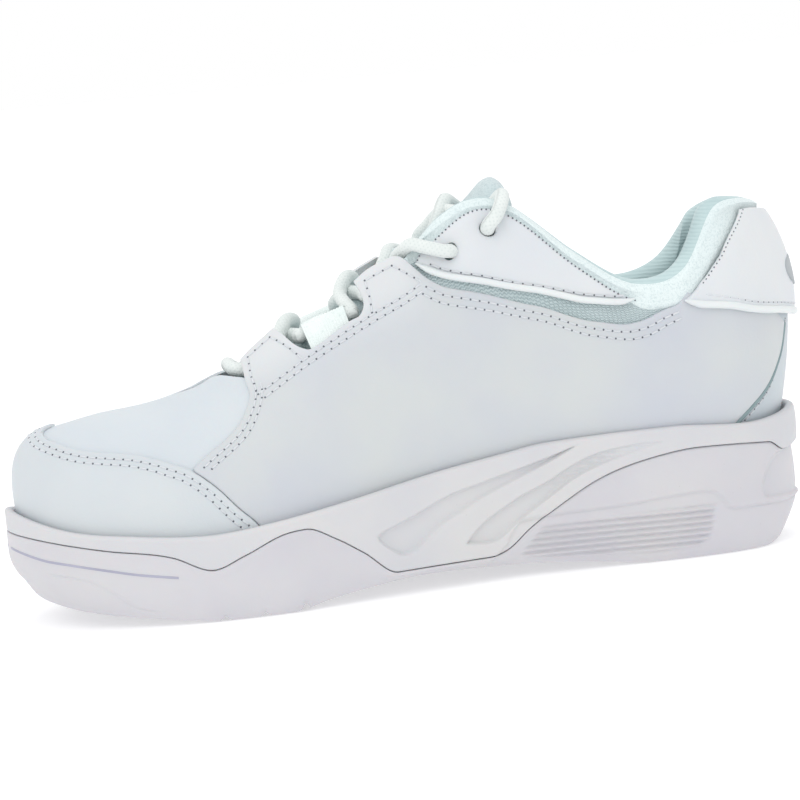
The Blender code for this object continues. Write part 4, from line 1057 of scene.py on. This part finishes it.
def crown(height, reach):
    """A padded sheet: it rises from its edges over a reach."""
    return lambda side, t, v, away: height * (1 - np.exp(-away / reach))


def vamp_depth(side, t, v):
    """Under the mudguard and the tabs, and flush between them."""
    open_middle = smooth_step(v, 0.80, 0.97) * smooth_step(t, 0.06, 0.16)
    return VAMP_DEPTH - 0.85 * open_middle


def quarter_depth(side, t, v):
    """The tabs' tops are pulled up by the lace, most of all at the upper tab."""
    reach = 0.45 + 0.55 * smooth_step(t, 0.50, 0.57)
    share = smooth_step(v, 0.72, 1.0) * smooth_step(t, 0.41, 0.45) * smooth_step(t, 0.64, 0.61)
    return -TAB_LIFT * (0.1 if side == LATERAL else 1.0) * reach * share


def make_toe_sheets():
    """Vamp, its lining and the mudguard over it."""
    vamp = [(side, join_runs([(0.42, 0.0), (0.0, 0.0)], [(0.0, 0.0), (0.0, 1.0)], [(0.0, 1.0), (THROAT, 1.0)],
                             [(THROAT, 1.0), (reach, 0.995)],
                             [(reach, 0.995), (reach + 0.008, 0.955), (0.412, 0.88), (0.44, UNDER_TABS)],
                             [(0.44, UNDER_TABS), (0.455, 0.55), (0.42, 0.0)]), ())
            for side, reach in ((MEDIAL, 0.394), (LATERAL, 0.372))]
    fine_sheet("vamp_leather", vamp, vamp_depth, SHEET, VAMP, node="vamp")
    lining = join_runs([(0.44, 0.0), (0.0, 0.0)], [(0.0, 0.0), (0.0, 1.0)], [(0.0, 1.0), (THROAT, 1.0)],
                       [(THROAT, 1.0), (0.39, 0.90), (0.44, UNDER_TABS)], [(0.44, UNDER_TABS), (0.44, 0.0)])
    fine_sheet("vamp_lining_knit", both(lining), lining_depth, SHEET, LINING, spacing=6.0, edge=4.0,
               node="vamp_lining")
    guard = join_runs([(0.405, 0.0), (0.0, 0.0)], [(0.0, 0.0), MUDGUARD_EDGE[0]], MUDGUARD_EDGE)
    fine_sheet("mudguard_leather", both(guard), -0.15, SHEET, MUDGUARD, node="mudguard")


def make_side_sheets():
    """Quarters, eyelet panels and the mesh window, one of each per side."""
    front_low = [(t + SEAM_LINE, v) for t, v in MUDGUARD_RUN[::-1] if v < 0.405]
    rear_top = [(t + 0.006, v + 0.03) for t, v in HEEL_LOW_RUN if 0.885 < t < 0.972]
    top = join_runs(QUARTER_FRONT, LOWER_TAB_TOP, NOTCH, UPPER_TAB_TOP, COLLAR_LINE)
    quarter = np.concatenate([front_low, top, rear_top, [(0.975, 0.512)], join_runs(QUARTER_REAR)[1:]])
    panel = np.concatenate([PANEL_LOW_RUN[:-1], PANEL_TOP_RUN[:-1]])
    mesh = np.array([(0.46, 0.50), (0.62, 0.42), (0.72, 0.38), (0.90, 0.60), (0.935, 0.70), (0.958, 0.90),
                     (0.962, 0.955), (0.613, 0.955), (0.604, 0.84), (0.60, UNDER_TABS), (0.46, UNDER_TABS)])
    for side, label in SIDE_NAMES.items():
        fine_sheet("quarter_leather_" + label, [(side, outer_tab(side, quarter), ())], quarter_depth, SHEET,
                   QUARTER, node="quarter_" + label)
        fine_sheet("panel_leather_" + label, [(side, panel, eyelet_holes(side))], 0.05, SHEET, TAB,
                   puff=crown(0.6, 4.0), node="eyelet_panel_" + label)
        fine_sheet("collar_knit_" + label, [(side, mesh, eyelet_holes(side))], MESH_DEPTH, SHEET, KNIT,
                   node="collar_mesh_" + label)


def make_heel_sheets():
    """Heel tab with its badge, the backstay and the lining of the ankle mouth."""
    tab = np.concatenate([[(1.0, 0.985)], join_runs(HEEL_TAB_FRONT)[:-1], HEEL_LOW_RUN])
    fine_sheet("heel_tab_leather", both(tab), -HEEL_TAB_PROUD, SHEET, TAB, rim=0.8, puff=crown(0.9, 5.0),
               node="heel_tab")
    stay = join_runs([(1.0, 0.0), (1.0, 0.58)],
                     [(1.0, 0.58), (0.955, 0.60), (0.93, 0.45), (0.90, 0.12), (0.895, 0.0)],
                     [(0.895, 0.0), (1.0, 0.0)])
    fine_sheet("backstay_leather", both(stay), VAMP_DEPTH, SHEET, BACKSTAY, node="backstay")
    inner = join_runs([(1.0, 0.0), (1.0, 0.97)], [(1.0, 0.97), (0.616, 0.97)],
                      [(0.616, 0.97), (0.61, 0.84), (0.60, UNDER_TABS), (0.452, UNDER_TABS), (0.448, 0.0)],
                      [(0.448, 0.0), (1.0, 0.0)])
    fine_sheet("collar_lining_knit", both(inner, eyelet_holes), lining_depth, SHEET, LINING, spacing=4.0,
               edge=2.5, node="collar_lining")
    badge = []
    for side in (MEDIAL, LATERAL):
        a, b = unit_lengths(side, 1.0, BADGE_V)
        half = [(1 - BADGE_HALF_WIDTH * math.cos(x) / a, BADGE_V + BADGE_HALF_HEIGHT * math.sin(x) / b)
                for x in np.linspace(-math.pi / 2, math.pi / 2, 25)]
        half[0], half[-1] = (1.0, half[0][1]), (1.0, half[-1][1])
        badge.append((side, np.array(half), ()))
    fine_sheet("heel_badge", badge, -2.3, 0.5, BADGE, rim=0.3, spacing=2.0, edge=1.0, slot="heel_tab")


def lip(name, path, radius, slot):
    """Rolled lip along a path, tapered at both ends."""
    from_end = np.minimum(np.arange(len(path)), np.arange(len(path))[::-1])
    tube(name, path, radius * np.sqrt(np.clip(from_end / 4, 0.05, 1)), PIPING, corners=12, slot=slot)


def make_piping():
    """Rolled lips under the eyelet panels and the heel tab, and a dark strip along the backstay, painted
    shade at the quarters' rear edges.
    """
    for side, label in SIDE_NAMES.items():
        line = soften(shifted(side, paced(side, PANEL_LOW_RUN, 1.2), 0.3))
        lip("panel_lip_" + label, skin(side, line, -0.3), 1.15, "eyelet_panel_" + label)
        rear = paced(side, smooth_line(QUARTER_REAR), 1.2)
        rear = rear[(rear[:, 1] > 0.03) & (rear[:, 1] < 0.48)]
        # A dark strip along the quarter's rear edge: painted shade where the quarter meets the backstay.
        tube("rear_edge_" + label, skin(side, shifted(side, rear, 0.6), 0.75), 0.85, EDGE_SHADE_STRIP, corners=8,
             slot="quarter_" + label)
    medial, lateral = (skin(side, soften(shifted(side, paced(side, HEEL_LOW_RUN, 1.2), 0.3)), -1.0)
                       for side in (MEDIAL, LATERAL))
    lip("heel_lip", np.concatenate([medial[:-1], lateral[::-1]]), 1.3, "heel_tab")


# ---------------------------------------------------------------- collar, tongue
RIDGE_CORNER = 9                     # ring corner where the outer knit meets the lining


def roll_ring(side, t):
    """Ring of the collar's roll: up the outside, over the ridge, down into the shoe and back under."""
    one, edge = np.array([t]), np.ones(1)
    start = smooth_step(t, 0.608, 0.65)
    bare = smooth_step(t, 0.835, 0.86) * smooth_step(t, 0.955, 0.93)
    outer, inner = 0.4, max(lining_depth(side, one, edge)[0] + SHEET + 0.35, 5.2)
    middle, half = (outer + inner) / 2, (inner - outer) / 2
    height = (3.3 + 1.0 * smooth_step(t, 0.72, 0.78)) * start + 0.6
    normal, _, up = last_frame(side, one, edge)
    up = up[0] / np.linalg.norm(up[0])
    base = last_point(side, one, edge)[0]
    low = 0.885 - 0.045 * smooth_step(t, 0.865, 0.90)
    ring = [skin_point(side, t, low + share * (1 - low), covered + (shown - covered) * bare)
            for share, covered, shown in ((0.0, 2.6, 2.4), (0.15, 1.5, 1.2), (0.4, 1.25, 0.6),
                                          (0.7, 1.2, 0.3), (0.98, 1.0, 0.3))]
    knit_edge = 0.353 - 0.15 * smooth_step(t, 0.76, 0.92)
    for angle in np.interp(range(13), (0, 4, 12), (0.06, knit_edge, 0.94)) * math.pi:
        depth = middle - half * math.cos(angle) * (1.06 if angle < math.pi / 2 else 1.0)
        ring.append(base - normal[0] * depth + up * height * math.sin(angle))
    ring += [skin_point(side, t, v, inner - less)
             for v, less in ((0.97, 0.0), (0.95, 0.1), (0.93, 1.1), (0.92, 2.6))]
    return ring + [skin_point(side, t, 0.90, middle)]


def make_collar_roll():
    """Padded knit roll over the collar's edge, from the lacing round the heel."""
    stations = np.concatenate([np.linspace(0.612, 0.66, 20), np.linspace(0.66, 1.0, 120)[1:]])
    rows, uvs = [], []
    for side, ts in ((MEDIAL, stations), (LATERAL, stations[-2::-1])):
        for t in ts:
            rows.append(roll_ring(side, t))
            uvs.append([(t * SPREAD[0] * side, x) for x in run_length(rows[-1])])
    roll = grid_mesh("collar_roll", rows, TERRY, uvs=uvs, node="collar_padding")
    roll.data.materials.append(LINING)
    around = len(rows[0])
    for face in roll.data.polygons:
        where = sorted(k % around for k in face.vertices)
        if len(where) == 4 and where[0] >= RIDGE_CORNER:
            face.material_index = 1


def tongue_height(s, y):
    """Height of the tongue's upper face."""
    centre_y, centre_z, _, arch = ease(TONGUE, s).T
    return centre_z - arch * (y - centre_y) ** 2


def make_tongue():
    """Padded tongue: a crowned pad with rounded edges and a rounded top end."""
    stations = np.concatenate([np.linspace(62, 161, 70), np.linspace(161, TONGUE_END, 24)[1:]])
    rows, around = [], 40
    for s in stations:
        centre_y, _, half, _ = ease(TONGUE, s)[0]
        end = np.clip((TONGUE_END - s) / 7.0, 0, 1)
        round_end = math.sqrt(max(0.0, 1 - (1 - end) ** 2))
        half = half * (0.55 + 0.45 * round_end)
        thick = TONGUE_THICK / 2 * TONGUE_SLOPE * max(0.05, round_end) * smooth_step(s, 58, 70)
        ring = []
        for k in range(around):
            a = 2 * math.pi * k / around
            c, d = math.cos(a), math.sin(a)
            y = centre_y + half * math.copysign(abs(c) ** 0.75, c)
            share = math.copysign(abs(d) ** 0.55, d)
            middle = tongue_height(np.array([s]), np.array([y]))[0] - TONGUE_THICK / 2 * TONGUE_SLOPE
            ring.append((s, y, middle + thick * share))
        rows.append(ring)
    uvs = [[(s * 1.4, k * 1.6) for k in range(around)] for s in stations]
    pad = grid_mesh("tongue_pad", rows, TONGUE_LOOK, uvs=uvs, body="tongue",
                    node="tongue_face", replaces=["tongue_face", "tongue_padding", "tongue_lining"])


# ---------------------------------------------------------------- lace, loops and aglets
def loop_frame(side, t):
    """Centre of a loop's bore at t, and the directions up from its tail and into the shoe."""
    v = LOOP_V - 0.03 * smooth_step(t, 0.50, 0.543) * smooth_step(t, 0.57, 0.55)
    if side == LATERAL:
        v -= 0.07 * smooth_step(t, 0.50, 0.48)
    up = skin_point(side, t, v, 0) - skin_point(side, t, LOOP_TAIL_V, 0)
    up /= np.linalg.norm(up)
    inward = -last_frame(side, np.array([t]), np.array([v]))[0][0]
    inward -= up * (up @ inward)
    return skin_point(side, t, v, LOOP_DEPTH), up, inward / np.linalg.norm(inward)


def make_lace_loop(side, label):
    """Folded ribbed webbing: up the outside, round the lace and down again."""
    radius = LACE_RADIUS + 0.5 + LOOP_WEB / 2
    path = [(-LOOP_TAIL, -radius), (-LOOP_TAIL * 0.5, -radius)]
    path += [(radius * math.cos(a), radius * math.sin(a)) for a in np.radians(np.linspace(-90, 196, 34))]
    path += [(-LOOP_TAIL * 0.5, -radius + LOOP_WEB), (-LOOP_TAIL, -radius + LOOP_WEB)]
    path = np.array(path)
    ahead = headings(path)
    outside = np.column_stack([ahead[:, 1], -ahead[:, 0]])
    start, end = LACE_LOOPS[label]
    width = np.linalg.norm(loop_frame(side, end)[0] - loop_frame(side, start)[0])
    stations = max(12, round(width / 0.16))
    rows, uvs = [], []
    run = run_length(path)
    for share in (k / stations for k in range(stations + 1)):
        centre, up, inward = loop_frame(side, start + (end - start) * share)
        x = share * width
        rib = 0.09 * math.cos(2 * math.pi * x / 0.95)
        trim = 0.14 * (1 - smooth_step(min(x, width - x), 0.0, 0.4))
        profile = np.concatenate([path + outside * (LOOP_WEB / 2 + rib - trim),
                                  (path - outside * (LOOP_WEB / 2 - trim))[::-1]])
        rows.append([centre + a * up + b * inward for a, b in profile])
        uvs.append([(x, r) for r in run] + [(x, r) for r in run[::-1]])
    name = "%s_%s" % (label, SIDE_NAMES[side])
    grid_mesh("webbing_loop_" + name, rows, WEBBING, uvs=uvs, node="lace_loop_" + name)


def through_loop(side, label, beyond=2.2):
    """Lace points straight through a loop, and a little beyond both its ends."""
    start, end = (loop_frame(side, t)[0] for t in LACE_LOOPS[label])
    along = (end - start) / np.linalg.norm(end - start) * beyond
    return [start - along, start, end, end + along]


def over_tongue(s, offset, lift=0.0):
    """Lace point on the tongue, an offset from its middle."""
    y = ease(TONGUE, s)[0, 0] + offset
    return np.array([s, y, tongue_height(np.array([s]), y)[0] + (LACE_RADIUS + 0.5) * TONGUE_SLOPE + lift])


CROSSING = 2 * LACE_RADIUS + 0.4     # lift of the strand that passes over another one


def lace_half(side):
    """Half of the lace: from the middle of the lowest strand up to the tucked end."""
    other = -side
    upper_first = CROSSING if side == MEDIAL else 0.0
    upper_second = CROSSING if side == LATERAL else 0.0
    (t4, v4), (t5, v5) = EYELETS
    route = [over_tongue(76.6, side * 6.0, 7.4)]
    route += through_loop(side, "low")
    route += [over_tongue(91.3, side * 6.5, 0.8 * upper_first), over_tongue(95.2, 0.0, upper_first),
              over_tongue(99.2, other * 6.5, 0.8 * upper_first)]
    route += through_loop(other, "mid")
    route += [over_tongue(113.2, other * 5.5, 0.7 * upper_second), over_tongue(116.3, 0.0, upper_second),
              over_tongue(120.0, side * 6.5, 0.8 * upper_second)]
    route += through_loop(side, "high", 2.0)
    top = skin_point(side, 0.606, 1.0, 0.0)
    low = 0.0 if side == MEDIAL else -2.6
    route += [top + np.array([-0.4, -side * 3.6, -2.0 + low]), top + np.array([1.6, -side * 1.4, 0.8 + low]),
              skin_point(side, 0.618, 0.985, -1.6) + np.array([0.0, 0.0, 1.4 + 0.6 * low]),
              skin_point(side, 0.630, 0.95, -3.4),
              skin_point(side, t4 - 0.006, v4 + 0.012, -3.0),
              skin_point(side, t4, v4, -0.6), skin_point(side, t4 + 0.001, v4, 3.2),
              skin_point(side, t4 + 0.003, v4 + 0.02, 7.2)]
    lift, ahead = (2.8, 1.5) if side == MEDIAL else (0.2, 0.0)
    route += [over_tongue(143.0 + ahead, side * 9.0, 0.4), over_tongue(146.0 + ahead, side * 5.0, 0.6 * lift),
              over_tongue(149.5 + ahead, 0.0, lift), over_tongue(152.5 + ahead, other * 6.0, 0.5 * lift),
              over_tongue(156.5 + ahead, other * 12.0, -0.6)]
    ridge = skin_point(other, 0.722, 1.0, 2.4) + np.array([0, 0, 5.4])
    route += [ridge + np.array([-4.0, -other * 5.0, -4.6]), ridge, skin_point(other, 0.711, 0.975, -3.2),
              skin_point(other, t5 + 0.001, v5 + 0.01, -2.4), skin_point(other, t5, v5, 0.6),
              skin_point(other, t5, v5, 4.4), skin_point(other, t5 - 0.001, v5 - 0.05, 8.0),
              skin_point(other, t5 - 0.006, v5 - 0.22, 8.0), skin_point(other, t5 - 0.010, v5 - 0.36, 8.2)]
    return route


def make_lace():
    """The lace as one braid, and the ridged tips of film on its two tucked ends."""
    medial, lateral = lace_half(MEDIAL), lace_half(LATERAL)
    path = smooth_line(medial[::-1] + [over_tongue(76.0, 0.0, 7.0)] + lateral, step=0.8)
    tube("lace_cord", path, LACE_BODY, LACE, corners=18, flat=0.92, node="lace")
    for side, route in ((LATERAL, medial), (MEDIAL, lateral)):
        along = (route[-1] - route[-2]) / np.linalg.norm(route[-1] - route[-2])
        reach = np.concatenate([[0.3, 0.5], np.linspace(0.9, 17.4, 34), [17.9, 18.2]])
        radius = 1.55 + 0.06 * np.cos(reach * 2 * math.pi / 1.5)
        radius[0], radius[-1] = 1.3, 1.2
        path = route[-1] + along * reach[:, None]
        name = "aglet_" + SIDE_NAMES[side]
        tube(name, path, radius, FILM, corners=14, guide=(0.3, 1.0, 0.0), node="lace_" + name)


# ---------------------------------------------------------------- stitching
def thread_shape(start, end, normal, radius):
    """A stitch between two needle holes: a low capsule bowed over the surface."""
    along = end - start
    length = np.linalg.norm(along)
    along = along / length
    across = np.cross(along, normal)
    points, corners = [], 6
    profile = ((0.08, 0.45, -0.12), (0.2, 0.9, 0.0), (0.5, 1.0, 0.06), (0.8, 0.9, 0.0), (0.92, 0.45, -0.12))
    for share, size, lift in profile:
        p = start + along * length * share + normal * lift
        points += [p + radius * size * (math.cos(a) * across + math.sin(a) * normal)
                   for a in (2 * math.pi * k / corners for k in range(corners))]
    return points, ring_faces(len(profile), corners)


def hole_shape(p, normal, along, radius):
    """A needle hole: a shallow dark bead set in the surface."""
    across = np.cross(along, normal)
    rim = [p + radius * (math.cos(a) * along + math.sin(a) * across)
           for a in (math.pi * k / 4 for k in range(8))]
    points = [p + normal * 0.09] + rim + [p - normal * 0.25]
    faces = [(0, 1 + k, 1 + (k + 1) % 8) for k in range(8)] + [(9, 1 + (k + 1) % 8, 1 + k) for k in range(8)]
    return points, faces


PUNCHED_PITCH = 2.0


def stitch(name, rows, slot, follow=None):
    """Rows of (side, line, sideways shift, depth, pitch, hole radius); fine rows are punched, with no thread.

    follow adds the depth of the sheet that the rows lie on.
    """
    parts = {"thread": ([], []), "holes": ([], [])}

    def add(kind, points, faces):
        store, index = parts[kind]
        base = len(store)
        store.extend(points)
        index.extend(tuple(k + base for k in f) for f in faces)

    for side, line, shift, depth, pitch, radius in rows:
        line = np.array(line, float)
        if shift:
            line = shifted(side, smooth_line(line, count=6), shift)
        line = line[np.all((line >= 0) & (line <= 1), axis=1)]
        tv = paced(side, line, pitch)
        normal = last_frame(side, *tv.T)[0]
        at = skin(side, tv, depth + (follow(side, *tv.T) if follow else 0.0))
        for a, b, n0, n1 in zip(at, at[1:], normal, normal[1:]):
            add("holes", *hole_shape(a, n0, (b - a) / np.linalg.norm(b - a), radius))
            if pitch > PUNCHED_PITCH:
                add("thread", *thread_shape(a, b, (n0 + n1) / np.linalg.norm(n0 + n1), 0.3))
    finish_mesh(name + "_needle_holes", *parts["holes"], NEEDLE, slot=slot)
    if parts["thread"][0]:
        finish_mesh(name + "_thread", *parts["thread"], THREAD, slot=slot)


# Lines of stitches on a quarter, beside its front and collar edges, (line, sideways shift); the last ones run
# along the two lace tabs.
STAY = [(0.428, 0.675), (0.487, 0.728), (0.54, 0.765), (0.566, 0.782), (0.595, 0.80), (0.617, 0.82)]
FRONT_RUN = smooth_line(QUARTER_FRONT[:7], count=5)
QUARTER_STITCHES = [
    (FRONT_RUN[2:], -2.4), (FRONT_RUN[3:-3], -4.4), (COLLAR_LINE[3:], -2.4), (COLLAR_LINE[3:], -4.7),
    (STAY, 0),
    ([(0.434, 0.645)] + [(t, v - 0.031) for t, v in STAY[1:]], 0),
    ([(0.4275, 0.70), (0.430, 0.80), (0.438, 0.905)], 0), ([(0.438, 0.905), (0.468, 0.935)], 0),
    ([(0.468, 0.935), (0.478, 0.83), (0.487, 0.735)], 0), ([(0.566, 0.79), (0.5685, 0.86), (0.570, 0.94)], 0),
    ([(0.570, 0.94), (0.597, 0.95)], 0), ([(0.597, 0.95), (0.608, 0.88), (0.617, 0.825)], 0)]


def make_stitching():
    """Double rows on the mudguard and quarters, and single rows on the panels, backstay and heel tab."""
    pitch, hole = 2.9, 0.35
    stitch("mudguard_stitch", [(side, MUDGUARD_RUN, shift, -0.17, pitch, hole)
                               for side in (MEDIAL, LATERAL) for shift in (-2.2, -4.2)], "mudguard")
    rear = smooth_line(QUARTER_REAR[:-1], count=4)
    for side, label in SIDE_NAMES.items():
        stitch("quarter_stitch_" + label, [(side, outer_tab(side, line), shift, -PROUD, pitch, hole)
                                           for line, shift in QUARTER_STITCHES],
               "quarter_" + label, quarter_depth)
        stitch("panel_stitch_" + label, [(side, PANEL_LOW_RUN[4:-4], 2.0, -0.45, 3.4, 0.3),
                                         (side, PANEL_TOP_RUN, 0.35, -0.1, 1.5, 0.3)],
               "eyelet_panel_" + label)
        stitch("backstay_stitch_" + label, [(side, rear, 2.6, VAMP_DEPTH - PROUD, 2.6, 0.3)], "backstay")
        stitch("heel_stitch_" + label, [(side, HEEL_TAB_FRONT[:-1], 0.5, -1.2, 1.5, 0.3),
                                        (side, HEEL_LOW_RUN[5:], 2.6, -1.5, 2.6, 0.28)], "heel_tab")


# ---------------------------------------------------------------- build
def light_table(name):
    """Pale diffusing panel lit from below."""
    look = Look(name, ((212, 212, 213), (216, 216, 217)), 0.9, blotch=4.0)
    look.put("Emission Color", (1, 1, 1, 1))
    look.put("Emission Strength", 0.42)
    return look.mat


def set_camera():
    """A long lens a little above the ground, the toe turned a little nearer, the view leaning to one side."""
    yaw, lift, lean = (math.radians(a) for a in (10.0, 7.0, 5.0))
    distance, scale = 1.1, 3.078
    target = Vector(((131.0 - CENTRE[0]) * MM, -CENTRE[1] * MM, 0.0572))
    look = Vector((math.sin(yaw) * math.cos(lift), math.cos(yaw) * math.cos(lift), -math.sin(lift)))
    right = Vector((math.cos(yaw), -math.sin(yaw), 0.0))
    up = right.cross(look)
    x_axis = right * math.cos(lean) - up * math.sin(lean)
    y_axis = up * math.cos(lean) + right * math.sin(lean)
    data = bpy.data.cameras.new("studio_camera")
    data.sensor_width = 36.0
    data.lens = scale / MM * distance * data.sensor_width / 800.0
    data.clip_start, data.clip_end = 0.05, 30.0
    camera = bpy.data.objects.new("studio_camera", data)
    axes = Matrix((x_axis, y_axis, -look)).transposed().to_4x4()
    camera.matrix_world = Matrix.Translation(target - look * distance) @ axes
    bpy.context.scene.collection.objects.link(camera)
    bpy.context.scene.camera = camera


def area_light(name, place_at, aim, size, power, colour):
    data = bpy.data.lights.new(name, "AREA")
    data.shape = "SQUARE"
    data.size, data.energy, data.color = size, power, colour
    light = bpy.data.objects.new(name, data)
    light.location = place_at
    light.rotation_euler = (Vector(aim) - Vector(place_at)).to_track_quat("-Z", "Y").to_euler()
    bpy.context.scene.collection.objects.link(light)


def make_studio():
    scene = bpy.context.scene
    world = bpy.data.worlds.new("studio_world")
    scene.world = world
    world.use_nodes = True
    background = world.node_tree.nodes["Background"]
    background.inputs["Color"].default_value = (1.0, 1.0, 1.0, 1.0)
    background.inputs["Strength"].default_value = 1.0
    area_light("key_light", (-0.7, -1.1, 1.3), (0, 0, 0.04), 1.1, 5.0, (1.0, 1.0, 1.0))
    area_light("top_light", (0.2, 0.3, 1.6), (0, 0, 0.05), 1.3, 3.0, (0.97, 0.99, 1.0))
    mesh = bpy.data.meshes.new("floor")
    reach = 6.0
    corners = [(-reach, -reach, 0), (reach, -reach, 0), (reach, reach, 0), (-reach, reach, 0)]
    mesh.from_pydata(corners, [], [(0, 1, 2, 3)])
    mesh.materials.append(light_table("floor_panel"))
    floor = bpy.data.objects.new("floor", mesh)
    floor.location = (0, 0, -0.0003)
    scene.collection.objects.link(floor)
    scene.view_settings.view_transform = "Standard"


set_camera()
make_outsole()
make_midsole()
make_toe_stripe()
make_insole()
make_toe_sheets()
make_side_sheets()
make_heel_sheets()
make_piping()
make_collar_roll()
make_tongue()
for a_side in (MEDIAL, LATERAL):
    for a_label in LACE_LOOPS:
        make_lace_loop(a_side, a_label)
make_lace()
make_stitching()
for node, look in (("strobel_board", BOARD), ("toe_puff", STIFF), ("heel_counter", STIFF)):
    for a_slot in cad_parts[node].material_slots:
        a_slot.material = look
make_studio()
